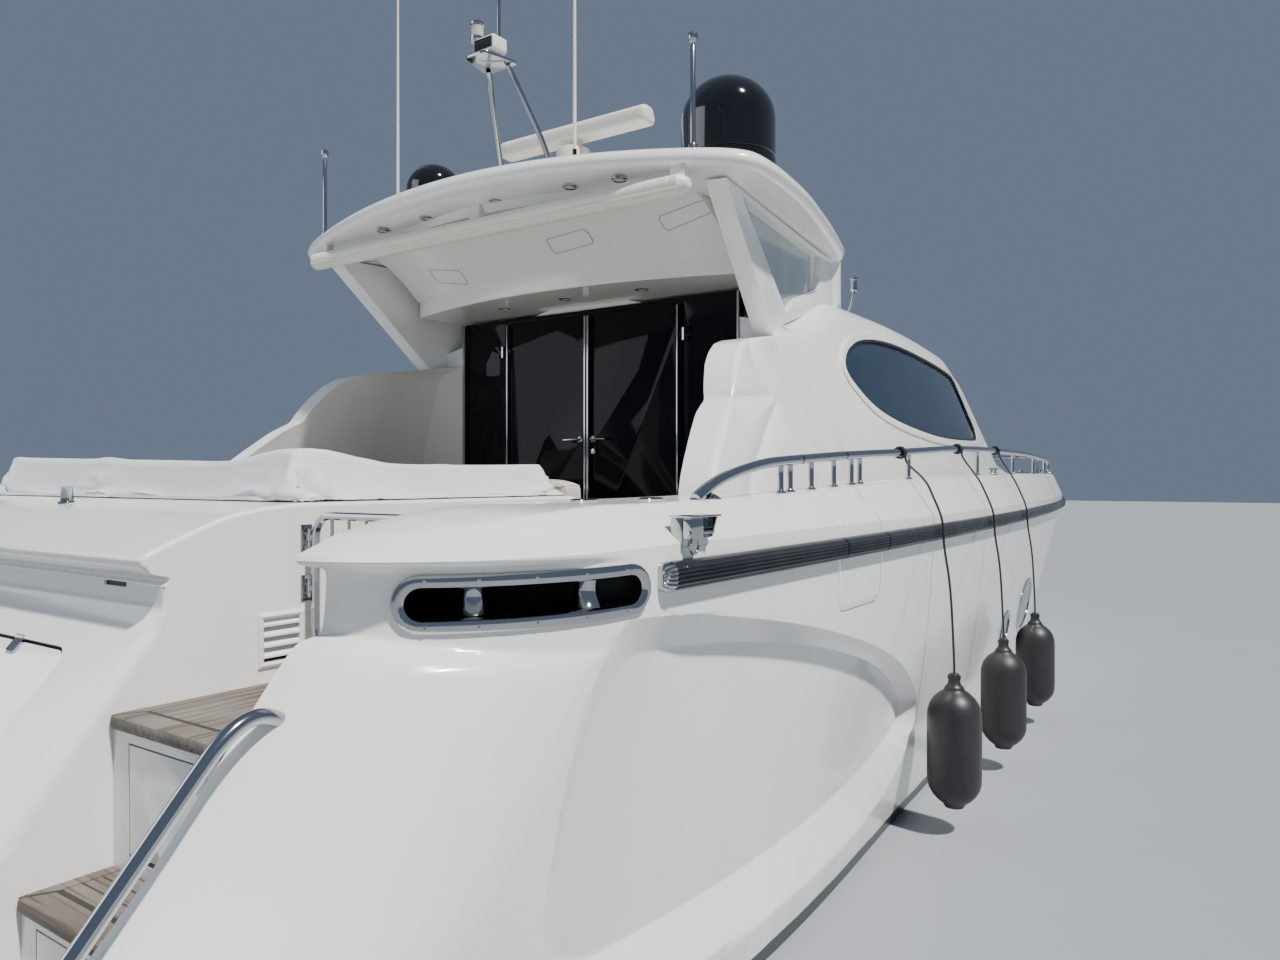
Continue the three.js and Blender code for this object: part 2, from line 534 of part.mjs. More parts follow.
function garagePanel(gap, outBy, inBy) {
  const [y0, z0] = GARAGE.foot;
  const [y1, z1] = GARAGE.head;
  const slope = V(0, y1 - y0, z1 - z0).normalize();
  const normal = V(0, -slope.z, slope.y);
  const corner = (x, a, b) => V(x, (y0 + y1) / 2, (z0 + z1) / 2).addScaledVector(slope, a)
    .addScaledVector(normal, b);
  const long = Math.hypot(y1 - y0, z1 - z0) / 2 - gap;
  const half = GARAGE.half - gap;
  const ring = (x) => [corner(x, -long, outBy), corner(x, long, outBy), corner(x, long, -inBy),
    corner(x, -long, -inBy)];
  return { body: solid(loft([ring(-half), ring(half)])), corner, long };
}

function makeMoulding() {
  let moulding = solid(fromSide(shapeOf(MOULDING), -STAIR_IN + GAP, STAIR_IN - GAP));
  const room = box(-GARAGE.half + 40, GARAGE.half - 40, GARAGE.aft, GARAGE.fwd, GARAGE.floor, GARAGE.ceiling);
  moulding = moulding.subtract(solid(room)).subtract(garagePanel(0, 300, GARAGE.thick + RUN).body);
  for (const side of Object.values(PORTS)) {
    const vent = sideBox(side, STAIR_IN - VENT.deep, STAIR_IN + 50, VENT.aft, VENT.fwd, VENT.bottom,
      VENT.top);
    moulding = moulding.subtract(solid(vent));
  }
  return moulding;
}

// Hinge knuckles in line: the ends belong to the fixed piece and the middle to the moving one
function knuckles(from, to, radius) {
  const at = (t) => from.clone().lerp(to, t);
  const slack = 0.4 / from.distanceTo(to);
  return {
    fixed: [rod(at(0), at(0.32), radius), rod(at(0.68), at(1), radius)],
    moving: rod(at(0.32 + slack), at(0.68 - slack), radius),
  };
}

// Rounded tube ring in a plane across the boat, for the stair gates
function tubeFrame(x0, x1, y, z0, z1, radius, corner) {
  const outer = rounded(x0 - radius, x1 + radius, z0 - radius, z1 + radius, corner);
  outer.holes.push(rounded(x0 + radius, x1 - radius, z0 + radius, z1 - radius, corner - 2 * radius));
  return fromBehind(outer, y - radius, y + radius);
}

// Rounded corners taken off a pad or a bed, as an extruded outline with its own thickness
function pad(x0, x1, y0, y1, z0, z1, r) {
  return fromAbove(rounded(x0, x1, y0, y1, r), z0, z1);
}

// Assembly, from the hull up
let hull = makeHull();
const house = makeDeckhouse(hull);
const hardtop = makeHardtop();
let moulding = makeMoulding();
makeGlass();

for (const [name, side] of Object.entries(PORTS)) {
  add(`side_screen_${name}`, makeSideScreen(side, hardtop), gelcoat);
}

// Door frame with its fixed panes at both sides, the stiles and the hinge posts
const PANE_Y = [BULKHEAD_Y - 22, BULKHEAD_Y + 22];
const HEADER = 30;            // height of the bar over the leaves
const KNUCKLE = { y: BULKHEAD_Y - 36, at: [1560, 2900], long: 90, r: 9, arm: 60 };
const HANDLE = { z: 2270, x: 60, out: 190, stand: 45, r: 10 };
let doorFrame = solid(box(-DOOR_HALF + GAP, DOOR_HALF - GAP, ...PANE_Y, DOOR_TOP - HEADER, DOOR_TOP - GAP));
const leaves = { starboard: [], port: [] };
for (const [name, side] of Object.entries(PORTS)) {
  const pane = sideBox(side, LEAF_HALF + 10, DOOR_HALF - GAP, ...PANE_Y, SOLE_Z + GAP, DOOR_TOP - GAP);
  doorFrame = doorFrame.add(solid(pane));
  const leaf = sideBox(side, 4, LEAF_HALF - 8, ...PANE_Y, SOLE_Z + RUN, DOOR_TOP - HEADER - RUN);
  const handleY = PANE_Y[0] - HANDLE.stand;
  const shank = rod(V(side * HANDLE.x, handleY, HANDLE.z), V(side * HANDLE.x, PANE_Y[0] + 5, HANDLE.z),
    HANDLE.r + 1);
  const lever = rod(V(side * (HANDLE.x - 5), handleY, HANDLE.z), V(side * HANDLE.out, handleY, HANDLE.z),
    HANDLE.r);
  leaves[name].push(leaf, shank, lever);
  for (const z of KNUCKLE.at) {
    const x = side * LEAF_HALF;
    const { fixed, moving } = knuckles(V(x, KNUCKLE.y, z), V(x, KNUCKLE.y, z + KNUCKLE.long), KNUCKLE.r);
    const arm = (near, far, z0, z1) => sideBox(side, near, far, KNUCKLE.y - 4, PANE_Y[0] + 6, z0, z1);
    for (const [k, [z0, z1]] of [[z, z + 28], [z + 62, z + 90]].entries()) {
      doorFrame = doorFrame.add(solid(fixed[k])).add(solid(arm(LEAF_HALF, LEAF_HALF + KNUCKLE.arm, z0, z1)));
    }
    leaves[name].push(moving, arm(LEAF_HALF - KNUCKLE.arm, LEAF_HALF, z + 30, z + 60));
  }
}
add('door_frame', doorFrame, blackGlass);
for (const [name, pieces] of Object.entries(leaves)) add(`saloon_door_${name}`, join(...pieces), blackGlass);

// Awning roller in its cassette under the hardtop's aft edge
const AWNING = { half: 1540, y: -4985, z: 3500, r: 60, brackets: [-1450, 0, 1450] };
const roller = [-AWNING.half, AWNING.half].map((x) => V(x, AWNING.y, AWNING.z));
let cassette = solid(rod(...roller, AWNING.r, AWNING.r, 14));
for (const x of AWNING.brackets) {
  const bracket = box(x - 50, x + 50, AWNING.y - 20, AWNING.y + 80, AWNING.z + 10, ROOF_EDGE_Z);
  cassette = cassette.add(solid(bracket));
}
add('awning_cassette', trimmed(cassette.subtract(moved(hardtop, 0, 0, -GAP)).subtract(hardtop)), cream);

// Gear on the hardtop: radar, domes, mast and whip aerials
const roofZ = (x, y) => ROOF_EDGE_Z + ROOF_CROWN * (1 - (x / along(ROOF, y)[0]) ** 2);
const onRoof = (body) => trimmed(body.subtract(moved(hardtop, 0, 0, GAP)));
const RADAR = { x: -45, y: -3950, z: 4400, length: 1290 };
const radarAt = (z) => V(RADAR.x, RADAR.y, z);
const radarFoot = rod(radarAt(3700), radarAt(3980), 190, 130, 16);
const radarCase = box(RADAR.x - 130, RADAR.x + 130, RADAR.y - 180, RADAR.y + 160, 3980, 4120);
const radarNeck = rod(radarAt(4110), radarAt(RADAR.z - 75), 90, 60, 12);
add('radar_pedestal', onRoof(join(radarFoot, radarCase, radarNeck)), cream);
const RADAR_SECTION = [[-75, -60], [60, -60], [75, -40], [40, 62], [-60, 62], [-80, 20]];
const bar = fromSide(shapeOf(RADAR_SECTION), -RADAR.length / 2, RADAR.length / 2)
  .translate(RADAR.x, RADAR.y, RADAR.z);
add('radar_array', join(bar, rod(radarAt(RADAR.z - 74.5), radarAt(RADAR.z - 50), 70, 80, 14)), cream);

function dome(x, y, radius, height) {
  const z = roofZ(x, y);
  const wall = height - radius;
  const profile = [[0, -40], [radius * 0.8, -40], [radius * 0.82, 60], [radius, 110], [radius, wall]];
  for (let i = 1; i <= 3; i++) profile.push([radius * cos(i * PI / 8), wall + radius * sin(i * PI / 8)]);
  return onRoof(solid(turnedOn([...profile, [0, wall + radius]], 14).translate(x, y, z)));
}
add('satellite_dome', dome(1340, -4230, 285, 620), blackGloss);
add('tv_dome', dome(-1010, -4350, 205, 500), blackGloss);

const MAST = { x: 25, foot: -4450, head: -4800, z: 4550, footZ: 3740, spread: 225, lampR: 45 };
const mastLeg = (side) => bentTube([
  V(MAST.x + side * MAST.spread, MAST.foot, MAST.footZ), V(MAST.x + side * 190, MAST.foot - 120, 4090),
  V(MAST.x + side * 80, MAST.head + 20, MAST.z),
], 20, 6);
const mastShoe = (side) => {
  const x = MAST.x + side * (MAST.spread - 3);
  return rod(V(x, MAST.foot, MAST.footZ), V(x, MAST.foot, MAST.footZ + 60), 45);
};
const MAST_PLATE = [[-115, -4740], [165, -4740], [110, -5000], [-60, -5000]];
const lampAt = (x, y, from, to) => rod(V(x, y, MAST.z + from), V(x, y, MAST.z + to), MAST.lampR, MAST.lampR,
  12);
const pole = rod(V(MAST.x, -4780, MAST.z), V(MAST.x, -4780, MAST.z + 1020), 14);
const searchlight = box(-60, 140, -4940, -4800, MAST.z + 10, MAST.z + 130);
add('mast', onRoof(join(
  mastLeg(-1), mastLeg(1), mastShoe(-1), mastShoe(1),
    fromAbove(shapeOf(MAST_PLATE), MAST.z - 15, MAST.z + 15),
  searchlight, pole, lampAt(-40, -4900, 120, 250), lampAt(MAST.x, -4780, 930, 1050),
)), steel);
const WHIPS = { port: [-1400, -4350], centre: [450, -4560] };
const WHIP_LENGTH = 2400;
for (const [name, [x, y]] of Object.entries(WHIPS)) {
  const up = (z) => V(x, y, roofZ(x, y) + z);
  const whip = join(rod(up(-60), up(180), 24, 18), rod(up(150), up(WHIP_LENGTH), 11, 6));
  add(`whip_aerial_${name}`, onRoof(whip), cream);
}
add('hardtop', hardtop, gelcoat);

// Rub rails, fluted strips proud of the topsides: aft of the gate on each side, and one round the bow
const RUB = { half: 48, proud: 46, aft: -6600 };
function rubRing(side, y, seat) {
  const rake = along(HULL, y)[0];
  const x = along(HULL, y)[5];
  const face = (out, dz) => V(side * (x + out), y + rake * dz, RAIL_Z + dz);
  const ring = [face(seat, -RUB.half), face(RUB.proud, -RUB.half * 0.7), face(RUB.proud, RUB.half * 0.7),
    face(seat, RUB.half)];
  return side > 0 ? ring : ring.reverse();
}
function rubRail(side, from, to, seat = 0.4) {
  const stations = [from, ...HULL.map(([y]) => y).filter((y) => y > from + 1 && y < to - 1), to];
  return solid(loft(stations.map((y) => rubRing(side, y, seat))));
}
const hullOut = (side) => moved(hull, side * GAP, 0, 0);
for (const [name, side] of Object.entries(PORTS)) {
  add(`rub_rail_aft_${name}`, rubRail(side, RUB.aft, GATE.aft - RUN).subtract(hullOut(side)), blackRubber);
}
// Columns: y, half-breadth of the hull there
const BOW_WRAP = [[8690, 500], [9350, 250], [9640, 60]];
const [wrapFoot, wrapHead] = [RAIL_Z - RUB.half * 0.7, RAIL_Z + RUB.half * 0.7];
const bowWrap = solid(loft(BOW_WRAP.map(([y, half]) => {
  const x = half + RUB.proud;
  return [V(x, y, wrapFoot), V(x, y, wrapHead), V(-x, y, wrapHead), V(-x, y, wrapFoot)];
})));
const nose = solid(box(-90, 90, 9560, 9700, wrapFoot, wrapHead));
const bowRub = rubRail(1, GATE.fwd + RUN, 9600).add(rubRail(-1, GATE.fwd + RUN, 9600)).add(nose.add(bowWrap));
add('rub_rail_forward',
  bowRub.subtract(hull).subtract(hullOut(1)).subtract(hullOut(-1)).subtract(moved(hull, 0, GAP, 0)),
    blackRubber);

// Handrails on the bulwarks. Columns: y, distance inboard of the bulwark's outer edge, z of the tube's middle
const rail = (y, z) => V(along(HULL, y)[6] - 60, y, z);
const RAIL_LINE = [[-6060, 1945], [-5800, 2020], [-5500, 2063], [-5100, 2087], [-4500, 2117], [-3650, 2150],
  [-2340, 2205], [-800, 2230], [1000, 2240], [2600, 2230],
  [4500, 2240], [6200, 2280], [7600, 2330], [8700, 2370]];
const railZ = (y) => along(RAIL_LINE, y)[0];
const railPoint = (side, y) => { const p = rail(y, railZ(y)); return V(side * p.x, p.y, p.z); };
const POST_R = 14;
const post = (side, y) => rod(V(side * rail(y, 0).x, y, along(HULL, y)[7] + GAP), railPoint(side, y), POST_R,
  POST_R, 4);
function railRun(side, from, to, steps) {
  const places = [from, ...RAIL_LINE.map(([y]) => y).filter((y) => y > from + 60 && y < to - 60), to];
  return bentTube(places.map((y) => railPoint(side, y)), TUBE_R, steps);
}
const AFT_POSTS = [-5260, -5360];
const BOW_POSTS = [-4500, -4380, -3540, -1700, 0, 1600, 3100, 4500, 5800, 7000, 8100];
const [railAft] = RAIL_LINE[0];
for (const [name, side] of Object.entries(PORTS)) {
  const { x } = rail(railAft, 0);
  const foot = rod(V(side * x, railAft + 70, 1924), V(side * x, railAft + 90, 1965), 34, 26);
  const posts = AFT_POSTS.map((y) => post(side, y));
  const run = join(railRun(side, railAft, GATE.aft - RUN, 12), foot, ...posts);
  add(`handrail_aft_${name}`, run.subtract(moved(hull, 0, 0, GAP)), steel);
}
const bowSide = (side) => [GATE.fwd + RUN, ...RAIL_LINE.map(([y]) => y).filter((y) => y > GATE.fwd + 200)]
  .map((y) => railPoint(side, y));
const BOW_BEND = [V(200, 9280, 2390), V(0, 9400, 2395), V(-200, 9280, 2390)];
let bowRail = solid(bentTube([...bowSide(1), ...BOW_BEND, ...bowSide(-1).reverse()], TUBE_R, 36));
for (const side of Object.values(PORTS)) {
  for (const y of BOW_POSTS) bowRail = bowRail.add(solid(post(side, y)));
}
add('bow_rail', bowRail.subtract(moved(hull, 0, 0, GAP)), steel);

// Side gates: the bulwark's own block, with its stretch of rub rail and handrail. Each folds down and out
// about its sill
const GATE_HINGE = { x: 2400, z: 1404, r: 7, at: [-5050, -4790], long: 90 };
const GATE_POSTS = [-5020, -4740];
for (const [name, side] of Object.entries(PORTS)) {
  const raw = solid(loft(HULL.map(hullRing)));
  const block = raw.intersect(gateBlock(side, RUN)).subtract(reliefCutter(side));
  const [aft, fwd] = [GATE.aft + RUN, GATE.fwd - RUN];
  let gate = block.add(rubRail(side, aft, fwd, -30)).add(solid(railRun(side, aft, fwd, 5)));
  for (const place of GATE_POSTS) {
    gate = gate.add(solid(rod(V(side * rail(place, 0).x, place, 1900), railPoint(side, place), POST_R)));
  }
  const { x, z, r, at, long } = GATE_HINGE;
  for (const y of at) {
    const { fixed, moving } = knuckles(V(side * x, y, z), V(side * x, y + long, z), r);
    gate = gate.add(solid(moving))
      .add(solid(sideBox(side, x - 60, x + 2, y + 0.36 * long, y + 0.64 * long, z + 4, z + 20)));
    for (const [k, y0] of [y + 2, y + 0.7 * long].entries()) {
      hull = hull.add(solid(fixed[k]))
        .add(solid(sideBox(side, x - 60, x + 2, y0, y0 + 0.28 * long, z - 20, z - 3)));
    }
  }
  add(`side_gate_${name}`, gate, gelcoat);
}

// Mooring ports: a bright frame round each slot, with two waisted bollards standing on its sill plate
const FRAME_PROUD = 26;
const BOLLARD = [[0, 0], [38, 0], [22, 45], [22, 100], [36, 140], [0, 140]];
const BOLLARDS_AT = [-150, 170];
for (const [name, side] of Object.entries(PORTS)) {
  const sternSkin = solid(loft(STERN_RAKE.map(([z, y]) => sternPlan(y, FRAME_PROUD)
    .map((p) => V(p.x, p.y, z)))));
  const frame = mooringSlot(side, -GAP, 60, 200).solid.subtract(mooringSlot(side, -20, 400, 400).solid)
    .intersect(sternSkin);
  const { centre, normal, level } = mooringSlot(side, 0, 1, 1);
  const foot = MOORING.z - MOORING.height / 2 + GAP;
  let port = frame;
  for (const k of BOLLARDS_AT) {
    const p = centre.clone().addScaledVector(level, k).addScaledVector(normal, -75);
    port = port.add(solid(turnedOn(BOLLARD, 8).translate(p.x, p.y, foot)));
  }
  const plate = mooringSlot(side, -GAP, 150, -20)
    .solid.intersect(solid(box(-3000, 3000, -9000, -5000, foot, foot + 10)));
  add(`mooring_port_${name}`, port.add(plate), steel);
}

// Stern: platform, boards, stair rails, gates and lockers
const mirrored = (half) => [...half, ...half.map(([x, y]) => [-x, y]).reverse()];
const platformHalf = [
  [1500, PLATFORM_AFT], [1700, PLATFORM_AFT + 30], [1860, PLATFORM_AFT + 130], [1940, -9300], [1980, -8460],
  [STAIR_OUT - 1, -8460], [STAIR_OUT - 1, TREAD_Y + SEAM - 1], [STAIR_IN + 1, TREAD_Y + SEAM - 1],
    [STAIR_IN + 1, -8481],
];
const platform = solid(fromAbove(shapeOf(mirrored(platformHalf)), WELL_Z + 1, PLATFORM_Z));
add('swim_platform', platform.subtract(moved(hull, 0, 0, GAP)).subtract(moved(hull, 0, -GAP, 0)), teak);
const soleHalf = [
  [STAIR_IN + 1, SOFA.aft], [STAIR_IN + 1, LANDING_Y], [STAIR_OUT - 20, LANDING_Y],
    [STAIR_OUT - 20, COCKPIT.aft - 10],
  [COCKPIT.half - 10, COCKPIT.aft + 10], [COCKPIT.half - 10, BULKHEAD_Y + 41],
];
const boards = solid(fromAbove(shapeOf(mirrored(soleHalf)), SOLE_Z - BOARD + GAP, SOLE_Z));
add('cockpit_sole', trimmed(boards.subtract(hull).subtract(moved(house, 0, 0, -GAP)).subtract(house)), teak);

for (const [name, side] of Object.entries(PORTS)) {
  for (const locker of LOCKERS) {
    const hingeY = locker.y - 2;
    const hingeZ = locker.bottom - 4;
    const { fixed, moving } = knuckles(V(side * 1500, hingeY, hingeZ), V(side * 1660, hingeY, hingeZ), 5);
    const { in_, out, y, thick, bottom, top } = locker;
    const leaf = sideBox(side, in_, out, y, y + thick, bottom + RUN - 4, top);
    const tongue = sideBox(side, 1553, 1607, hingeY - 1, y + 8, hingeZ - 2, bottom + 10);
    add(`riser_locker_${locker.name}_${name}`, join(leaf, moving, tongue), gelcoat);
    for (const knuckle of fixed) hull = hull.add(solid(knuckle));
    for (const [x0, x1] of [[1502, 1549], [1611, 1658]]) {
      hull = hull.add(solid(sideBox(side, x0, x1, hingeY - 1, y + 30, hingeZ - 16, hingeZ - 1)));
    }
  }
}
add('deckhouse', house, gelcoat);

// Garage door in the moulding's slope, hinged along its head
const doorPanel = garagePanel(RUN, 0, GARAGE.thick);
const garageAxis = doorPanel.corner(0, doorPanel.long + RUN + 4, 8);
let garageDoor = doorPanel.body;
for (const x of [-600, 600]) {
  const { fixed, moving } = knuckles(V(x - 90, garageAxis.y, garageAxis.z),
    V(x + 90, garageAxis.y, garageAxis.z), 8);
  const strap = (x0, x1, a0, a1, b0, b1) => {
    const ring = (at) => [[a0, b1], [a1, b1], [a1, b0], [a0, b0]].map(([a, b]) => doorPanel.corner(at, a, b));
    return solid(loft([ring(x0), ring(x1)]));
  };
  const edge = doorPanel.long;
  garageDoor = garageDoor.add(solid(moving)).add(strap(x - 30, x + 30, edge - 40, edge - 1, -14, 10.5))
    .add(strap(x - 30, x + 30, edge - 10, edge + RUN + 5, 5.5, 10.5));
  for (const knuckle of fixed) moulding = moulding.add(solid(knuckle));
  for (const x0 of [x - 88, x + 36]) moulding = moulding.add(strap(x0, x0 + 52, edge + RUN + 3, edge + 60,
    -14, 2));
}
add('garage_door', garageDoor, gelcoat);

// Stair gates of bent tube, hinged on the moulding's sides
const STAIR_GATE = { y: -7070, in_: 1352, out: 1868, foot: 1430, head: 1875, r: 14 };
for (const [name, side] of Object.entries(PORTS)) {
  const { y, in_, out, foot, head, r } = STAIR_GATE;
  const x0 = min(side * in_, side * out);
  const bar = sideBox(side, in_, out, y - 8, y + 8, 1640, 1656);
  const pieces = [tubeFrame(x0, x0 + out - in_, y, foot, head, r, 70), bar];
  const hingeX = STAIR_IN + 22;
  for (const z of [1600, 1770]) {
    const { fixed, moving } = knuckles(V(side * hingeX, y, z), V(side * hingeX, y, z + 60), 9);
    pieces.push(moving, sideBox(side, hingeX, in_, y - 5, y + 5, z + 22, z + 38));
    for (const knuckle of fixed) moulding = moulding.add(solid(knuckle));
    for (const z0 of [z, z + 41]) {
      moulding = moulding.add(solid(sideBox(side, STAIR_IN - 3, hingeX, y - 5, y + 5, z0, z0 + 19)));
    }
  }
  add(`stair_gate_${name}`, join(...pieces), steel);
}
add('transom_moulding', moulding, gelcoat);

// Stair handrails on the raked inner edges of the stern quarters
const STAIR_RAIL = { x: 1985, r: 19 };
const STAIR_RAIL_LINE = [
  [-7590, 1395], [-7690, 1430], [-7760, 1402], [-7830, 1345], [-8106, 1026], [-8410, 675], [-8435, 610],
  [-8330, 545],
];
// Ends of each foot's flange: y, z
const STAIR_RAIL_FEET = [[[-7600, 1380], [-7660, 1404]], [[-8380, 560], [-8412, 590]]];
for (const [name, side] of Object.entries(PORTS)) {
  const at = ([y, z]) => V(side * STAIR_RAIL.x, y, z);
  const feet = STAIR_RAIL_FEET.map(([from, to]) => rod(at(from), at(to), 36, 34, 10));
  const whole = join(bentTube(STAIR_RAIL_LINE.map(at), STAIR_RAIL.r, 16), ...feet);
  add(`stair_rail_${name}`,
    trimmed(whole.subtract(moved(hull, 0, -GAP, 0)).subtract(moved(hull, 0, 0, GAP))), steel);
}

// Soft pieces: the cover over the sunbed, and the cockpit sofa's cushions on their box
const SUNBED = { half: 1200, aft: -7050, z: 1916, top: 2070 };
add('sunbed_cover', pad(-SUNBED.half, SUNBED.half, SUNBED.aft, SOFA.aft - 10, SUNBED.z + GAP, SUNBED.top,
  120), coverCloth);
const sofaBox = box(-1240, 1240, SOFA.aft + GAP, SOFA.fwd, SOLE_Z + GAP, 1680);
const sofaSeat = pad(-1230, 1230, SOFA.aft + 10, SOFA.fwd + 10, 1670, 1790, 60);
const sofaBack = box(-1230, 1230, SOFA.aft + 1, SOFA.aft + 150, 1780, 2050);
add('cockpit_sofa', join(sofaBox, sofaSeat, sofaBack), cushion);

// Saloon inside: helm console, wheel and sofa
const WHEEL = { at: [620, -1195, 2200], stand: 80, r: 190, rim: 16 };
const CONSOLE = { port: 150, starboard: 1250 };
const CONSOLE_SIDE = [
  [-1350, SOLE_Z + GAP], [-1250, 2150], [-900, 2420], [-300, 2440], [-200, 2200], [-200, SOLE_Z + GAP],
];
const wheelAxis = V(0, -0.92, 0.39).normalize();
const wheelHub = V(...WHEEL.at).addScaledVector(wheelAxis, WHEEL.stand);
const wheelTurn = new THREE.Quaternion().setFromUnitVectors(V(0, 0, 1), wheelAxis);
const wheelRim = new THREE.TorusGeometry(WHEEL.r, WHEEL.rim, 6, 14).applyQuaternion(wheelTurn)
  .translate(wheelHub.x, wheelHub.y, wheelHub.z);
const onAxis = (t) => wheelHub.clone().addScaledVector(wheelAxis, t);
const spoke = (turn) => {
  const reach = V(WHEEL.r * cos(turn), WHEEL.r * sin(turn), 0).applyQuaternion(wheelTurn);
  return rod(wheelHub, wheelHub.clone().add(reach), 10);
};
const wheelBoss = rod(onAxis(12), onAxis(-46), 34, 34, 12);
add('steering_wheel', join(wheelRim, spoke(PI / 2), spoke(PI * 7 / 6), spoke(-PI / 6), wheelBoss),
  blackRubber);
const console = fromSide(shapeOf(CONSOLE_SIDE), CONSOLE.port, CONSOLE.starboard);
add('helm_console', join(console, rod(onAxis(-46.4), onAxis(-200), 45, 50, 12)), cushion);
const saloonSeat = box(-1500, -850, -3500, -900, SOLE_Z + GAP, 1720);
const saloonBack = box(-1500, -1320, -3500, -900, 1700, 2100);
add('saloon_sofa', join(saloonSeat, saloonBack), cushion);

// Underwater gear: shafts with their brackets, propellers and rudders
const BLADE = { r: 160, thick: 20, pitch: 0.55, out: 200 };
const shaftAxis = V(0, cos(SHAFT.tilt), sin(SHAFT.tilt));
for (const [name, side] of Object.entries(PORTS)) {
  const hub = V(side * SHAFT.x, SHAFT.hubY, SHAFT.hubZ);
  const on = (t) => hub.clone().addScaledVector(shaftAxis, t);
  const legs = [[SHAFT.x - 260, -560],
    [SHAFT.x + 260, -480]].map(([x, z]) => rod(on(230), V(side * x, -7250, z), 26, 26));
  const shaft = join(rod(on(100), on(SHAFT.length), SHAFT.r, SHAFT.r, 12), rod(on(160), on(300), 62, 62, 12),
    ...legs);
  add(`shaft_${name}`, trimmed(shaft.subtract(hull).subtract(moved(hull, 0, 0, -GAP))), steel);
  let propeller = solid(rod(on(-120), on(99), 70, 85, 14));
  const turn = new THREE.Quaternion().setFromUnitVectors(V(0, 0, 1), shaftAxis);
  for (let i = 0; i < 4; i++) {
    const blade = new THREE.CylinderGeometry(BLADE.r, BLADE.r, BLADE.thick, 8).rotateX(PI / 2)
      .scale(1, 0.75, 1)
      .rotateY(BLADE.pitch * side).translate(BLADE.out, 0, 0).rotateZ(i * PI / 2);
    propeller = propeller.add(solid(blade.applyQuaternion(turn).translate(hub.x, hub.y, hub.z)));
  }
  add(`propeller_${name}`, propeller, bronze);
  const { stockY, gland, aft, fwd, head, foot, half, stockR } = RUDDER;
  const bladeSide = shapeOf([[aft, head], [fwd, head], [fwd - 20, foot], [aft + 40, foot]]);
  const blade = fromSide(bladeSide, side * SHAFT.x - half, side * SHAFT.x + half);
  const stock = rod(V(side * SHAFT.x, stockY, head - 100), V(side * SHAFT.x, stockY, gland - GAP), stockR,
    stockR, 12);
  add(`rudder_${name}`, join(blade, stock), bronze);
}

// Foredeck: hatch lid hinged along its forward edge, and the anchor on its roller
const lidTop = HATCH.rim + HATCH.lid;
const hingeY = HATCH.fwd + 14;
let lid = solid(pad(-HATCH.half, HATCH.half, HATCH.aft, HATCH.fwd, HATCH.rim + GAP, lidTop, HATCH.corner));
for (const x of [-170, 170]) {
  const { fixed, moving } = knuckles(V(x - 45, hingeY, lidTop), V(x + 45, hingeY, lidTop), 8);
  lid = lid.add(solid(moving))
    .add(solid(box(x - 13, x + 13, HATCH.fwd - 30, hingeY, HATCH.rim + 16, lidTop + 4)));
  for (const [knuckle, x0] of [[fixed[0], x - 43], [fixed[1], x + 17]]) {
    const foot = box(x0, x0 + 26, HATCH.fwd - 1, HATCH.fwd + 20, HATCH.deck, HATCH.rim - RUN);
    const lug = box(x0, x0 + 26, HATCH.fwd + 6, HATCH.fwd + 20, HATCH.deck, lidTop);
    hull = hull.add(solid(knuckle)).add(solid(foot)).add(solid(lug));
  }
}
add('foredeck_hatch', lid, gelcoat);
add('hull', hull, gelcoat);
const ANCHOR_SIDE = [[9400, 2150], [9840, 2080], [9900, 1820], [9840, 1760], [9760, 1990], [9740, 2085],
  [9400, 2100]];
const bowRoller = box(-70, 70, 9100, 9780, 2080.4, 2112);
add('anchor', join(fromSide(shapeOf(ANCHOR_SIDE), -25, 25), bowRoller), steel);

// Fenders hanging from the starboard rail on their lanyards
const FENDERS = [-3700, -2350, -950];
const FENDER = { foot: 140, eye: 762, out: 40 };
const FENDER_SIDE = [[0, 0], [70, 8], [150, 140], [150, 560], [45, 700], [32, FENDER.eye], [0, FENDER.eye]];
FENDERS.forEach((y, i) => {
  const x = sideOf(y, RAIL_Z) + RUB.proud + 30;
  const body = turnedOn(FENDER_SIDE, 10).translate(x + FENDER.out, y, FENDER.foot);
  const lanyard = bentTube([
    V(x + FENDER.out, y, FENDER.foot + FENDER.eye - 12), V(x + 10, y, 1500), V(x + 2, y, 1700),
    V(x - 60, y, 1880), railPoint(1, y),
  ], 7, 12, 5);
  const seat = bowRail.add(moved(bowRail, GAP, 0, 0)).add(moved(bowRail, 0, 0, -GAP));
  add(`fender_${i + 1}`, trimmed(join(body, lanyard).subtract(seat)), blackRubber);
});

export default yacht;
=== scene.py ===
"""Looks of a hardtop motor yacht, dressed round its packed construction model.

Metres, +Y to the bow, +X to starboard, +Z up. The waterline is at z = 0.
"""
from math import copysign, cos, exp, hypot, pi, radians, sin, sqrt
from types import SimpleNamespace

import bmesh
import bpy
import numpy as np
from mathutils import Matrix, Vector


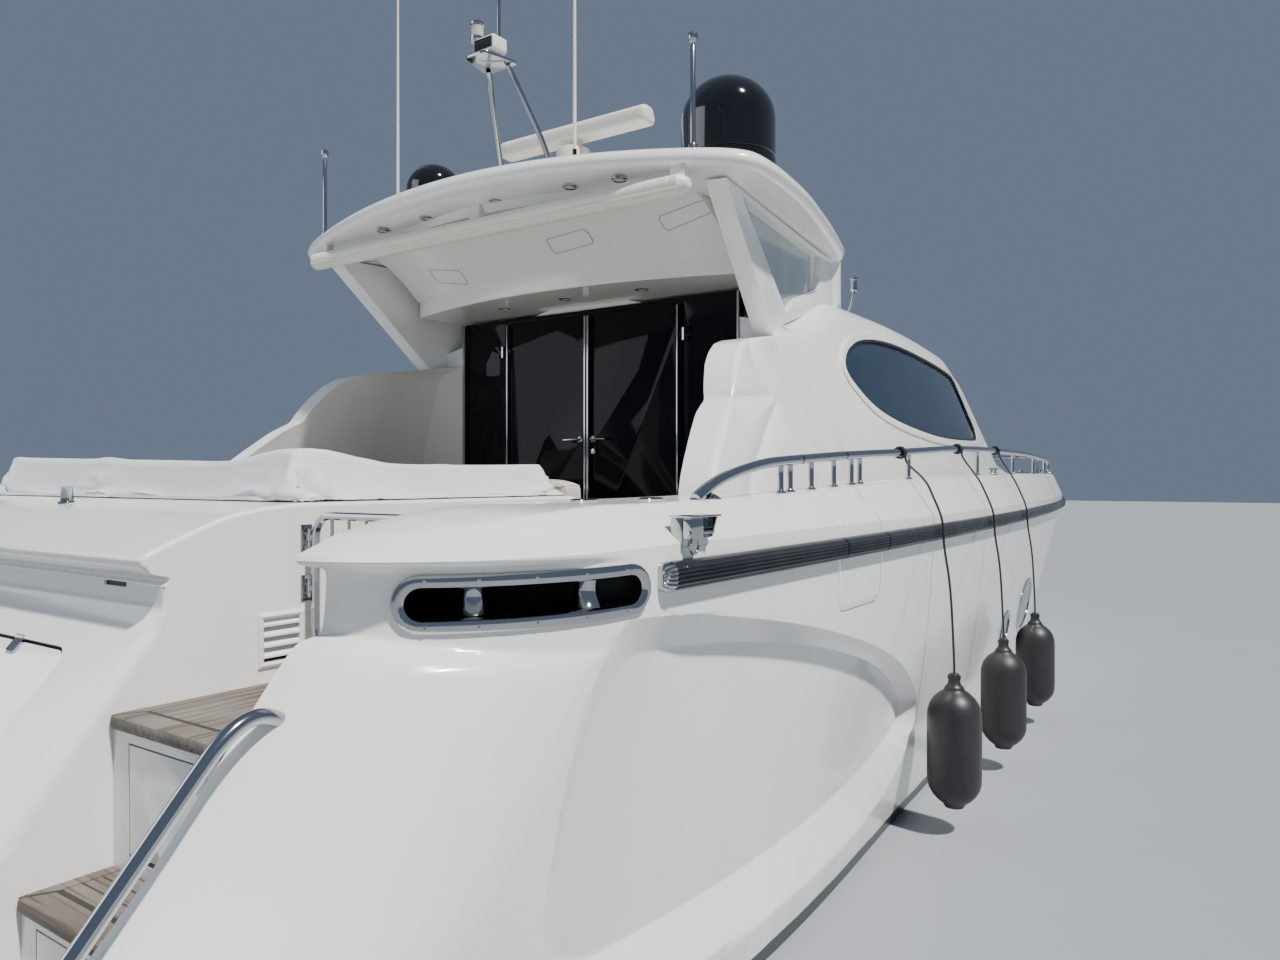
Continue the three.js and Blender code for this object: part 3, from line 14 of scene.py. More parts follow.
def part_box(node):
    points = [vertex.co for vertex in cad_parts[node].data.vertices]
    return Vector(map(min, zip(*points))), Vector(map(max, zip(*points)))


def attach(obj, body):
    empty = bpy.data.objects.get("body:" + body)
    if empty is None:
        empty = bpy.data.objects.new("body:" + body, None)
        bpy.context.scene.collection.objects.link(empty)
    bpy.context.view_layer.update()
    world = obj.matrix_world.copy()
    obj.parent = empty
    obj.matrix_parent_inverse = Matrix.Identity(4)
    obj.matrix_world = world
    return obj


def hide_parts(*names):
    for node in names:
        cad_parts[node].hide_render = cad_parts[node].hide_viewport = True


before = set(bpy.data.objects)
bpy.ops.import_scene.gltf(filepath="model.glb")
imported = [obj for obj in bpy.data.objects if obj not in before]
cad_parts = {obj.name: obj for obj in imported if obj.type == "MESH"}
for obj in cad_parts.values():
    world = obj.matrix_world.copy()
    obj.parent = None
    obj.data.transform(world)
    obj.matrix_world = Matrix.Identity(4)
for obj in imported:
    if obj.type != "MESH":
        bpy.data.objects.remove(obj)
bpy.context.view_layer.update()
SIDES = {"starboard": 1, "port": -1}
SCENE = bpy.context.scene

# Driving sizes, the same as in the construction model
SOLE_Z = 1.336
BOARD = 0.02
PLATFORM_Z = 0.48
TREAD_Z = 0.91
LANDING_Y = -7.712
TREAD_Y = -7.944
STAIR_IN = 1.3
STAIR_OUT = 1.9
SOFA_AFT = -5.6
BULKHEAD_Y = -3.82
RAIL_Z = 1.69


# Helpers for meshes

def idle():
    """Object mode with nothing selected."""
    if bpy.context.object and bpy.context.object.mode != "OBJECT":
        bpy.ops.object.mode_set(mode="OBJECT")
    bpy.ops.object.select_all(action="DESELECT")


def active(obj):
    idle()
    obj.select_set(True)
    bpy.context.view_layer.objects.active = obj
    return obj


def modify(obj, kind, **settings):
    """Adds one modifier and applies it."""
    modifier = obj.modifiers.new(kind.lower(), kind)
    for key, value in settings.items():
        setattr(modifier, key, value)
    active(obj)
    bpy.ops.object.modifier_apply(modifier=modifier.name)
    return obj


def settle(obj):
    """Puts the object's place into its mesh."""
    active(obj)
    bpy.ops.object.transform_apply(location=True, rotation=True, scale=True)
    return obj


def chamfered(obj, width, segments=2, angle=50):
    """Rounds the edges that turn by more than an angle."""
    return modify(obj, "BEVEL", width=width, segments=segments, limit_method="ANGLE",
        angle_limit=radians(angle))


def tidy_normals(obj, merge=0.0001):
    """Merges doubled points and turns every face outward."""
    mesh = bmesh.new()
    mesh.from_mesh(obj.data)
    bmesh.ops.remove_doubles(mesh, verts=mesh.verts, dist=merge)
    bmesh.ops.recalc_face_normals(mesh, faces=mesh.faces)
    mesh.to_mesh(obj.data)
    mesh.free()
    return obj


def mesh_object(name, vertices, faces):
    data = bpy.data.meshes.new(name)
    data.from_pydata([tuple(v) for v in vertices], [], faces)
    obj = bpy.data.objects.new(name, data)
    SCENE.collection.objects.link(obj)
    return tidy_normals(obj)


def skin(name, rows, ring=True, capped=True):
    """A skin over rows of points. ring joins each row end to end, capped closes the first and last."""
    count = len(rows[0])
    faces = []
    for i in range(len(rows) - 1):
        for j in range(count if ring else count - 1):
            k = (j + 1) % count
            faces.append((i * count + j, i * count + k, (i + 1) * count + k, (i + 1) * count + j))
    if ring and capped:
        faces.append(tuple(range(count)))
        faces.append(tuple(range((len(rows) - 1) * count, len(rows) * count)))
    return mesh_object(name, [p for row in rows for p in row], faces)


def hoop(name, rows):
    """A closed ring of sections."""
    return tidy_normals(skin(name, rows + [rows[0]], capped=False))


def prism(name, outline, axis, low, high):
    """An outline pushed along X, Y or Z. It is given as (Y, Z), (X, Z) or (X, Y)."""
    place = {"X": lambda u, v, w: (w, u, v),
        "Y": lambda u, v, w: (u, w, v),
        "Z": lambda u, v, w: (u, v, w)}[axis]
    return skin(name, [[place(u, v, w) for u, v in outline] for w in (low, high)])


def rounded_outline(u0, u1, v0, v1, radius, steps=5):
    points = []
    for cu, cv, start in ((u1 - radius, v0 + radius, -90), (u1 - radius, v1 - radius, 0),
            (u0 + radius, v1 - radius, 90), (u0 + radius, v0 + radius, 180)):
        for i in range(steps + 1):
            turn = radians(start + 90 * i / steps)
            points.append((cu + radius * cos(turn), cv + radius * sin(turn)))
    return points


def combine(obj, others, operation="DIFFERENCE"):
    """Cuts the other solids from one, joins them to it or keeps what they share, and removes them."""
    group = bpy.data.collections.new("cutters")
    for other in others:
        group.objects.link(other)
    modify(obj, "BOOLEAN", operation=operation, solver="EXACT", operand_type="COLLECTION", collection=group)
    for other in others:
        bpy.data.objects.remove(other)
    bpy.data.collections.remove(group)
    return obj


def block(name, low, high, bevel=0.0, segments=2):
    idle()
    bpy.ops.mesh.primitive_cube_add(size=1, location=[(a + b) / 2 for a, b in zip(low, high)])
    obj = bpy.context.object
    obj.name = name
    obj.scale = [b - a for a, b in zip(low, high)]
    settle(obj)
    if bevel:
        modify(obj, "BEVEL", width=bevel, segments=segments, limit_method="ANGLE")
    return obj


def side_block(name, side, inner, outer, y0, y1, z0, z1, bevel=0.0, segments=2):
    x0, x1 = sorted((side * inner, side * outer))
    return block(name, (x0, y0, z0), (x1, y1, z1), bevel, segments)


def turned(name, at, profile, segments=32, axis=None):
    """A turned piece from (radius, height) pairs, raised ring by ring. axis is its own up direction."""
    idle()
    radius, height = profile[0]
    bpy.ops.mesh.primitive_circle_add(vertices=segments, radius=max(radius, 1e-4), fill_type="NGON",
        location=(0, 0, height))
    obj = bpy.context.object
    obj.name = name
    bpy.ops.object.mode_set(mode="EDIT")
    for (r0, h0), (r1, h1) in zip(profile, profile[1:]):
        bpy.ops.mesh.extrude_region_move(TRANSFORM_OT_translate={"value": (0, 0, h1 - h0)})
        ratio = max(r1, 1e-4) / max(r0, 1e-4)
        bpy.ops.transform.resize(value=(ratio, ratio, 1))
    bpy.ops.object.mode_set(mode="OBJECT")
    if axis is not None:
        obj.rotation_mode = "QUATERNION"
        obj.rotation_quaternion = Vector((0, 0, 1)).rotation_difference(Vector(axis))
    obj.location = Vector(at) + (obj.rotation_quaternion @ Vector((0, 0, height)) if axis is not None
        else Vector((0, 0, height)))
    return tidy_normals(settle(obj), 0.00005)


def spun(name, at, profile, segments=32, axis=None):
    """A small turned piece from (radius, height) pairs in millimetres, closed on its axis at both ends."""
    pairs = [(r / 1000, h / 1000) for r, h in profile]
    first = [(0, pairs[0][1])] if pairs[0][0] else []
    last = [(0, pairs[-1][1])] if pairs[-1][0] else []
    return turned(name, at, first + pairs + last, segments, axis)


def pipe(name, points, radius, sides=16, bend=True, closed=False):
    """A round tube through points, with closed ends."""
    idle()
    curve = bpy.data.curves.new(name, "CURVE")
    curve.dimensions = "3D"
    spline = curve.splines.new("NURBS" if bend else "POLY")
    spline.points.add(len(points) - 1)
    for point, place in zip(spline.points, points):
        point.co = (*place, 1)
    if bend:
        spline.order_u = 3
        spline.use_endpoint_u = not closed
        spline.resolution_u = 6
    spline.use_cyclic_u = closed
    curve.bevel_depth = radius
    curve.bevel_resolution = max(1, sides // 4 - 1)
    curve.use_fill_caps = True
    obj = bpy.data.objects.new(name, curve)
    SCENE.collection.objects.link(obj)
    active(obj)
    bpy.ops.object.convert(target="MESH")
    return tidy_normals(bpy.context.object)


def rod(name, points, radius, sides=16):
    """A tube that goes straight from point to point."""
    return pipe(name, points, radius, sides, bend=False)


def ring_tube(name, points, radius, sides=16):
    """A tube that closes on itself."""
    return pipe(name, points, radius, sides, bend=False, closed=True)


def joined(name, parts):
    """Several solids as one piece."""
    active(parts[0])
    for part in parts[1:]:
        part.select_set(True)
    bpy.ops.object.join()
    obj = bpy.context.object
    obj.name = name
    return obj


def refined(node, bevel=0.006, segments=2, angle=30):
    """A copy of a construction solid with its edges rounded."""
    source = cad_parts[node]
    obj = bpy.data.objects.new(node + "_fine", source.data.copy())
    SCENE.collection.objects.link(obj)
    tidy_normals(obj, 0.0002)
    modify(obj, "DECIMATE", decimate_type="DISSOLVE", angle_limit=radians(3))
    if bevel:
        chamfered(obj, bevel, segments, angle)
    return obj


def dress(obj, material, stands_for=(), body="root", angle=35):
    """Gives a finished piece its material and its body, and hides the solids that it stands for."""
    settle(obj)
    obj.data.materials.clear()
    obj.data.materials.append(material)
    active(obj)
    bpy.ops.object.shade_smooth_by_angle(angle=radians(angle))
    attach(obj, body)
    if stands_for:
        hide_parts(*stands_for)
    return obj


def bright(name, parts, stands_for=(), body="root", angle=35):
    """Polished parts joined as one finished piece."""
    return dress(joined(name, parts), STEEL, stands_for, body, angle)


def smooth_table(table):
    """A smooth curve through a table's rows that never overshoots them: the first column is the place."""
    places = np.array([row[0] for row in table], float)
    values = np.array([row[1:] for row in table], float)
    steps = np.diff(places)
    slopes = np.diff(values, axis=0) / steps[:, None]
    tangents = np.zeros_like(values)
    tangents[0], tangents[-1] = slopes[0], slopes[-1]
    for i in range(1, len(places) - 1):
        a, b = slopes[i - 1], slopes[i]
        w1, w2 = 2 * steps[i] + steps[i - 1], steps[i] + 2 * steps[i - 1]
        same = a * b > 0
        mean = (w1 + w2) / (w1 / np.where(same, a, 1) + w2 / np.where(same, b, 1))
        tangents[i] = np.where(same, mean, 0)

    def at(place):
        place = min(max(place, places[0]), places[-1])
        i = min(max(int(np.searchsorted(places, place)) - 1, 0), len(steps) - 1)
        h = steps[i]
        t = (place - places[i]) / h
        return ((1 + 2 * t) * (1 - t) ** 2 * values[i] + t * (1 - t) ** 2 * h * tangents[i] + t * t
            * (3 - 2 * t) * values[i + 1] + t * t * (t - 1) * h * tangents[i + 1])
    return at


def softened(points, radius, steps=4):
    """An open outline with each inner corner turned into a short curve."""
    out = [Vector(points[0])]
    for before, corner, after in zip(points, points[1:], points[2:]):
        before, corner, after = Vector(before), Vector(corner), Vector(after)
        reach = min(radius, (corner - before).length * 0.45, (after - corner).length * 0.45)
        start = corner + (before - corner).normalized() * reach
        end = corner + (after - corner).normalized() * reach
        for i in range(steps + 1):
            t = i / steps
            out.append(start * (1 - t) ** 2 + corner * 2 * t * (1 - t) + end * t * t)
    out.append(Vector(points[-1]))
    return out


def soft_loop(points, radius, steps):
    """A closed outline with rounded corners, as plain pairs."""
    return [(p[0], p[1]) for p in softened([*points, *points[:2]], radius, steps)[1:-1]]


def spread(start, end, count):
    """Even steps from start to end, both included."""
    return [start + (end - start) * i / (count - 1) for i in range(count)]


def smooth_step(t):
    """An eased step from 0 to 1."""
    t = min(1.0, max(0.0, t))
    return t * t * (3 - 2 * t)


def around(count):
    """Even turns round a circle, in radians."""
    return [2 * pi * i / count for i in range(count)]


def mirrored(half):
    """An outline from its starboard half."""
    return half + [(-x, y) for x, y in reversed(half)]


def doubled(obj):
    """A copy of a piece with a mesh of its own."""
    copy = obj.copy()
    copy.data = obj.data.copy()
    SCENE.collection.objects.link(copy)
    return copy


# Materials

def group_tree(name, inputs, outputs):
    """An empty shader group with named number and colour sockets."""
    tree = bpy.data.node_groups.new(name, "ShaderNodeTree")
    for socket, kind, value in inputs:
        made = tree.interface.new_socket(socket, in_out="INPUT", socket_type=kind)
        made.default_value = value
    for socket, kind in outputs:
        tree.interface.new_socket(socket, in_out="OUTPUT", socket_type=kind)
    return tree, tree.nodes.new("NodeGroupInput"), tree.nodes.new("NodeGroupOutput")


def put(node, values):
    """Sets a node's inputs: another node's output is linked, and a number or colour stays on the socket."""
    for name, value in values.items():
        socket = node.inputs[name]
        if isinstance(value, bpy.types.NodeSocket):
            node.id_data.links.new(value, socket)
        else:
            socket.default_value = (*value, 1) if socket.type == "RGBA" else value
    return node


def noise(tree, scale, detail=3.0, stretch=None):
    """Noise over the piece's own space, optionally drawn out along an axis."""
    place = tree.nodes.new("ShaderNodeTexCoord").outputs["Object"]
    if stretch:
        mapping = put(tree.nodes.new("ShaderNodeMapping"), {"Scale": stretch, "Vector": place})
        place = mapping.outputs["Vector"]
    texture = put(tree.nodes.new("ShaderNodeTexNoise"), {"Scale": scale, "Detail": detail, "Vector": place})
    return texture.outputs["Fac"]


def maths(tree, operation, a, b, clamp=False):
    node = tree.nodes.new("ShaderNodeMath")
    node.operation = operation
    node.use_clamp = clamp
    return put(node, {0: a, 1: b}).outputs[0]


def remap(tree, value, low, high, to_low=0.0, to_high=1.0):
    node = tree.nodes.new("ShaderNodeMapRange")
    put(node, {"Value": value, "From Min": low, "From Max": high, "To Min": to_low, "To Max": to_high})
    return node.outputs["Result"]


def mixed(tree, factor, a, b):
    node = tree.nodes.new("ShaderNodeMix")
    node.data_type = "RGBA"
    return put(node, {"Factor": factor, "A": a, "B": b}).outputs["Result"]


def make_weathering():
    """Patchy stains, faint runs down the sides and fine pores, for painted, moulded and rubber surfaces."""
    tree, given, result = group_tree("weathering", [("Clean", "NodeSocketColor", (0.8, 0.8, 0.8, 1)),
        ("Stain", "NodeSocketColor", (0.5, 0.5, 0.45, 1)), ("Amount", "NodeSocketFloat", 0.1),
        ("Gloss", "NodeSocketFloat", 0.25), ("Wear", "NodeSocketFloat", 0.1)],
        [("Color", "NodeSocketColor"), ("Roughness", "NodeSocketFloat"), ("Height", "NodeSocketFloat")])
    patches = remap(tree, noise(tree, 1.3, 5), 0.38, 0.72)
    runs = remap(tree, noise(tree, 2.2, 6, (3.0, 3.0, 0.22)), 0.46, 0.78)
    pores = noise(tree, 190, 2)
    stain = maths(tree, "ADD", maths(tree, "MULTIPLY", patches, 0.45), maths(tree, "MULTIPLY", runs, 0.55))
    amount = maths(tree, "MULTIPLY", stain, given.outputs["Amount"], clamp=True)
    color = mixed(tree, amount, given.outputs["Clean"], given.outputs["Stain"])
    rough = maths(tree, "ADD", given.outputs["Gloss"], maths(tree, "MULTIPLY", patches,
        given.outputs["Wear"]))
    height = maths(tree, "ADD", maths(tree, "MULTIPLY", pores, 0.15), noise(tree, 9, 2))
    put(result, {"Color": color, "Roughness": rough, "Height": height})
    return tree


WEATHERING = make_weathering()


def principled(name):
    """A new material, its node tree and its shader."""
    material = bpy.data.materials.new(name)
    material.use_nodes = True
    return material, material.node_tree, material.node_tree.nodes["Principled BSDF"]


def raised(shader, height, strength, distance):
    """Fine relief from a height."""
    relief = shader.id_data.nodes.new("ShaderNodeBump")
    put(relief, {"Strength": strength, "Distance": distance, "Height": height})
    put(shader, {"Normal": relief.outputs["Normal"]})
    return relief


def surface(name, clean, stain, amount, gloss, wear=0.1, metallic=0.0, bump=0.02, coat=0.0, sheen=0.0):
    """A material of weathered stuff, and its shader, weathering and relief nodes for any further work."""
    material, tree, shader = principled(name)
    weather = tree.nodes.new("ShaderNodeGroup")
    weather.node_tree = WEATHERING
    put(weather, {"Clean": clean, "Stain": stain, "Amount": amount, "Gloss": gloss, "Wear": wear})
    put(shader, {"Metallic": metallic, "Coat Weight": coat, "Coat Roughness": 0.06, "Sheen Weight": sheen,
        "Base Color": weather.outputs["Color"], "Roughness": weather.outputs["Roughness"]})
    return material, shader, weather, raised(shader, weather.outputs["Height"], bump, 0.01)


def make_hull_gelcoat():
    """The gelcoat of the hull, with the dark bottom paint and its waterline."""
    material, shader, weather, _ = surface("hull_gelcoat", (0.86, 0.86, 0.84), (0.6, 0.59, 0.53), 0.18,
        0.15, 0.12, bump=0.012, coat=0.35)
    tree = material.node_tree
    place = tree.nodes.new("ShaderNodeTexCoord").outputs["Object"]
    split = put(tree.nodes.new("ShaderNodeSeparateXYZ"), {"Vector": place})
    height = maths(tree, "ADD", split.outputs["Z"], maths(tree, "MULTIPLY", noise(tree, 3.0, 4), 0.02))
    below = remap(tree, height, 0.085, 0.08)
    scum = remap(tree, height, 0.34, 0.06)
    patchy = maths(tree, "MULTIPLY", scum, remap(tree, noise(tree, 2.6, 6, (1, 1, 0.4)), 0.35, 0.75))
    stained = mixed(tree, maths(tree, "MULTIPLY", patchy, 0.5), weather.outputs["Color"],
        (0.42, 0.37, 0.22))
    color = mixed(tree, below, stained, (0.012, 0.016, 0.024))
    rough = maths(tree, "ADD", weather.outputs["Roughness"], maths(tree, "MULTIPLY", below, 0.35))
    put(shader, {"Base Color": color, "Roughness": rough})
    return material


def make_glass(name, color, rough, shine=0.38, coat=0.12):
    """Dark glass with faint smudges."""
    material, tree, shader = principled(name)
    smudges = remap(tree, noise(tree, 2.4, 6), 0.45, 0.8)
    smudged = mixed(tree, maths(tree, "MULTIPLY", smudges, 0.25), color, [c * 2.4 + 0.01 for c in color])
    roughness = maths(tree, "ADD", maths(tree, "MULTIPLY", smudges, 0.09), rough)
    put(shader, {"IOR": 1.45, "Transmission Weight": 0.0, "Specular IOR Level": shine, "Coat Weight": coat,
        "Coat Roughness": 0.03, "Base Color": smudged, "Roughness": roughness})
    return material


def make_steel(name, color, gloss):
    return surface(name, color, (0.38, 0.38, 0.4), 0.25, gloss, 0.12, metallic=1.0, bump=0.01)[0]


def make_teak(name, along):
    """Weathered planks: along names the axis that the boards run along, with the grain drawn out that way."""
    material, tree, shader = principled(name)
    grain = noise(tree, 70, 6, (1.0, 0.05, 1.0) if along == "Y" else (0.05, 1.0, 1.0))
    boards = noise(tree, 9, 2, (1.0, 0.04, 1.0) if along == "Y" else (0.04, 1.0, 1.0))
    patches = remap(tree, noise(tree, 3.5, 4), 0.35, 0.7)
    base = mixed(tree, remap(tree, boards, 0.35, 0.65), (0.115, 0.092, 0.072), (0.2, 0.173, 0.147))
    worn = mixed(tree, maths(tree, "MULTIPLY", patches, 0.5), base, (0.25, 0.228, 0.204))
    dark = mixed(tree, remap(tree, grain, 0.52, 0.7), worn, (0.055, 0.042, 0.031))
    put(shader, {"Base Color": dark, "Roughness": remap(tree, grain, 0.3, 0.7, 0.62, 0.85)})
    raised(shader, grain, 0.35, 0.002)
    return material


def make_cloth(name, color, shade, scale, strength):
    """Coated cloth: a fine weave with broad soft creases."""
    material, shader, _, relief = surface(name, color, shade, 0.45, 0.62, 0.15, bump=0.3, sheen=0.2)
    tree = shader.id_data
    weave = maths(tree, "MULTIPLY", noise(tree, scale, 1, (1, 6, 1)), noise(tree, scale, 1, (6, 1, 6)))
    creases = noise(tree, 7, 6, (1.0, 0.5, 1.6))
    height = maths(tree, "ADD", maths(tree, "MULTIPLY", weave, 0.12), creases)
    put(relief, {"Strength": strength, "Distance": 0.012, "Height": height})
    return material


GELCOAT = surface("gelcoat", (0.86, 0.86, 0.84), (0.62, 0.61, 0.55), 0.16, 0.16, 0.12, bump=0.012,
    coat=0.35)[0]
HULL_GELCOAT = make_hull_gelcoat()
SEAM_FILLER = surface("seam_filler", (0.34, 0.32, 0.28), (0.24, 0.22, 0.19), 0.25, 0.28, 0.1, bump=0.015,
    coat=0.15)[0]
DOOR_GLASS = make_glass("door_glass", (0.004, 0.005, 0.006), 0.03, 0.15, 0.0)
BLUE_GLASS = make_glass("tinted_glass", (0.01, 0.022, 0.04), 0.03)
GREY_PANE = make_glass("grey_pane", (0.33, 0.38, 0.42), 0.08)
STEEL = make_steel("stainless", (0.47, 0.48, 0.5), 0.06)
DULL_STEEL = make_steel("aged_steel", (0.45, 0.45, 0.45), 0.28)
TEAK_ALONG = make_teak("teak_fore_and_aft", "Y")
TEAK_ACROSS = make_teak("teak_athwart", "X")
CAULK = surface("caulk", (0.012, 0.012, 0.012), (0.03, 0.03, 0.028), 0.4, 0.55)[0]
RUBBER = surface("fender_rubber", (0.012, 0.012, 0.014), (0.1, 0.1, 0.095), 0.3, 0.38, 0.2, bump=0.05)[0]
RAIL_RUBBER = surface("rub_rail_vinyl", (0.01, 0.011, 0.016), (0.07, 0.07, 0.075), 0.3, 0.22, 0.2,
    bump=0.02)[0]
CREAM = surface("cream_plastic", (0.8, 0.78, 0.7), (0.52, 0.49, 0.4), 0.22, 0.3, 0.15, bump=0.02)[0]
BLACK_GLOSS = surface("black_gloss", (0.004, 0.004, 0.005), (0.03, 0.03, 0.03), 0.2, 0.07, 0.08,
    coat=0.6)[0]
COVER = make_cloth("cover_cloth", (0.7, 0.715, 0.73), (0.5, 0.5, 0.5), 700, 0.3)
VINYL = surface("cream_vinyl", (0.62, 0.585, 0.51), (0.4, 0.36, 0.3), 0.25, 0.42, 0.1, bump=0.08,
    sheen=0.15)[0]
BRONZE = surface("bronze", (0.36, 0.25, 0.12), (0.1, 0.13, 0.09), 0.6, 0.32, 0.2, metallic=1.0,
    bump=0.08)[0]
# Near black: painted shade at the back of the slots and vents, and the searchlight's dark face.
DARK = surface("dark_inside", (0.008, 0.008, 0.008), (0.02, 0.02, 0.02), 0.3, 0.7)[0]
LAMP = surface("lamp_lens", (0.55, 0.55, 0.5), (0.3, 0.28, 0.24), 0.3, 0.12, 0.1, coat=0.5)[0]


# Hull. Columns: y, rake, keel z, chine half-breadth, chine z, middle half-breadth, rail half-breadth,
# bulwark half-breadth, bulwark z, inner half-breadth, deck z
HULL = [
    (-9.0, 0.0, -0.69, 2.23, -0.06, 2.35, 2.39, 2.29, 1.905, 1.9, 1.316),
    (-7.4, 0.0, -0.75, 2.245, -0.06, 2.365, 2.41, 2.31, 1.915, 1.9, 1.316),
    (-5.65, 0.0, -0.81, 2.24, -0.055, 2.365, 2.415, 2.3, 1.925, 1.9, 1.316),
    (-5.56, 0.0, -0.81, 2.24, -0.055, 2.365, 2.415, 2.295, 1.928, 2.12, 1.38),
    (-3.5, 0.0, -0.85, 2.13, -0.04, 2.29, 2.375, 2.24, 1.995, 2.1, 1.4),
    (-1.5, 0.0, -0.87, 2.02, -0.01, 2.18, 2.285, 2.15, 2.025, 2.01, 1.5),
    (0.5, 0.05, -0.86, 1.86, 0.04, 2.0, 2.13, 1.995, 2.04, 1.86, 1.64),
    (2.5, 0.15, -0.8, 1.57, 0.14, 1.76, 1.915, 1.785, 2.05, 1.66, 1.77),
    (4.5, 0.35, -0.65, 1.23, 0.28, 1.42, 1.6, 1.48, 2.06, 1.36, 1.85),
    (6.2, 0.65, -0.45, 0.86, 0.43, 1.04, 1.24, 1.13, 2.07, 1.02, 1.885),
    (7.6, 0.95, -0.33, 0.56, 0.58, 0.71, 0.88, 0.78, 2.075, 0.68, 1.9),
    (8.7, 1.15, -0.29, 0.3, 0.72, 0.39, 0.5, 0.42, 2.08, 0.34, 1.905),
    (9.35, 1.2, -0.27, 0.13, 0.82, 0.18, 0.25, 0.19, 2.08, 0.11, 1.905),
    (9.65, 1.2, -0.25, 0.03, 0.9, 0.04, 0.06, 0.04, 2.08, 0.012, 1.905),
]
hull_at = smooth_table(HULL)

# Stern quarters. Columns: z, y of the aft edge
STERN_RAKE = [(-1.2, -8.8), (0.15, -8.79), (0.44, -8.5), (0.965, -8.045), (1.09, -7.925), (1.3, -7.755),
    (1.5, -7.595), (1.556, -7.545), (1.574, -7.52), (1.582, -7.465), (1.6, -7.452), (1.74, -7.44),
    (1.76, -7.452), (1.77, -7.515), (1.785, -7.532), (1.85, -7.528), (1.885, -7.5), (1.905, -7.45),
    (1.925, -7.4)]
stern_at = smooth_table(STERN_RAKE)
CORNER_X = 1.85
CORNER_LONG = 0.72
SIDE_START = -6.45
QUARTER_DROP = 0.095


def quarter_drop(z):
    """How far the aft edge's shape sinks on its way round the quarter, fading out towards the cap."""
    return QUARTER_DROP * min(1, max(0, (1.72 - z) / 0.1))


# Sunk panel in each topside. Columns: y, z of the outer outline, y, z of the floor outline
RELIEF = [
    (-6.93, 1.592, -6.88, 1.48), (-6.5, 1.572, -6.5, 1.452), (-5.9, 1.483, -5.9, 1.382),
    (-5.18, 1.337, -5.2, 1.264), (-4.39, 1.12, -4.4, 1.058), (-3.96, 0.93, -4.02, 0.89),
    (-3.7, 0.74, -3.8, 0.74), (-3.65, 0.63, -3.76, 0.65), (-3.73, 0.47, -3.83, 0.56),
    (-4.03, 0.3, -4.2, 0.49), (-4.47, 0.215, -4.59, 0.449), (-5.2, 0.2, -5.2, 0.43),
    (-6.1, 0.245, -6.05, 0.44), (-7.2, 0.42, -7.2, 0.56),
]
RELIEF_DEPTH = 0.085


def rounded_loop(points, passes=3):
    """A closed outline with its corners cut off again and again."""
    points = [np.array(p, float) for p in points]
    for _ in range(passes):
        points = [q for a, b in zip(points, points[1:] + points[:1]) for q in (a * 0.75 + b * 0.25,
            a * 0.25 + b * 0.75)]
    return np.array(points)


RELIEF_OUTER = rounded_loop([row[:2] for row in RELIEF])
RELIEF_FLOOR = rounded_loop([row[2:] for row in RELIEF])


def side_curve(chine, middle, rail, f):
    """Breadth of the side between chine and rub rail, through its middle breadth."""
    return chine * (1 - f) * (1 - 2 * f) + middle * 4 * f * (1 - f) + rail * f * (2 * f - 1)


def side_x(y, z):
    """Half-breadth of the hull's side."""
    _, _, chine, chine_z, middle, rail = hull_at(y)[:6]
    return side_curve(chine, middle, rail, (z - chine_z) / (RAIL_Z - chine_z))


def relief_cutter(side):
    """What the sunk panel leaves open: sloping banks, and a floor that follows the side."""
    def ring(loop, deep, scale=1.0):
        middle = loop.mean(axis=0)
        points = [middle + (p - middle) * scale for p in loop]
        out = []
        for y, z in points:
            grown = smooth_step((y + 7.02 + 0.4 * (1.59 - z)) / 0.85)
            sunk = RELIEF_DEPTH * max(0.006, grown) if deep is None else deep
            out.append(Vector((side * (side_x(y, z) - sunk), y, z)))
        return out
    rows = [ring(RELIEF_OUTER, -0.12), ring(RELIEF_OUTER, -0.004)]
    rows += [ring(RELIEF_FLOOR, None, scale) for scale in (1.0, 0.97, 0.88, 0.74, 0.56, 0.34, 0.1)]
    return skin("relief", rows)


# Heights of the hull's rows, at the stern; further forward they follow the chine
SIDE_ROWS = (spread(-0.06, 1.44, 31) + [1.48, 1.5, 1.515, 1.53, 1.54, 1.55, 1.558, 1.566, 1.574, 1.582,
    1.59, 1.6, 1.62, 1.65, 1.69])
BOTTOM_ROWS = 7


def hull_column(y):
    """Half a section from the keel to the middle of the deck cap.

    Each point is x, the shift in y for rake, and z.
    """
    rake, keel_z, chine, chine_z, middle, rail, top, top_z, _, _ = hull_at(y)
    points = []
    flat = min(0.09, chine * 0.5)
    for i in range(BOTTOM_ROWS):
        t = i / BOTTOM_ROWS
        bulge = 0.05 * sin(pi * t) * min(1, chine)
        points.append((t * (chine - flat), keel_z + (chine_z - 0.03 - keel_z) * t - bulge))
    points.append((chine - flat, chine_z - 0.03))
    for row in SIDE_ROWS:
        f = (row - SIDE_ROWS[0]) / (RAIL_Z - SIDE_ROWS[0])
        points.append((side_curve(chine, middle, rail, f), chine_z + f * (RAIL_Z - chine_z)))
    shoulder = (rail * 0.99 + top * 0.01, RAIL_Z + 0.1)
    for z in (1.72, 1.74, 1.75, 1.758, 1.765, 1.772, 1.78):
        points.append((rail + (shoulder[0] - rail) * (z - RAIL_Z) / 0.1, z))
    above = softened([shoulder, (top * 0.75 + rail * 0.25, top_z - 0.06), (top - 0.004, top_z),
        (top * 0.9, top_z + 0.001)], 0.06, 4)
    points += [tuple(p) for p in above] + [(top * 0.6, top_z + 0.001), (0.0, top_z + 0.001)]
    return [(x, rake * (z - RAIL_Z) * (0.15 if z > RAIL_Z else 1.0), z) for x, z in points]


HORN = SimpleNamespace(under=1.784, long=0.62, edge=-7.53)


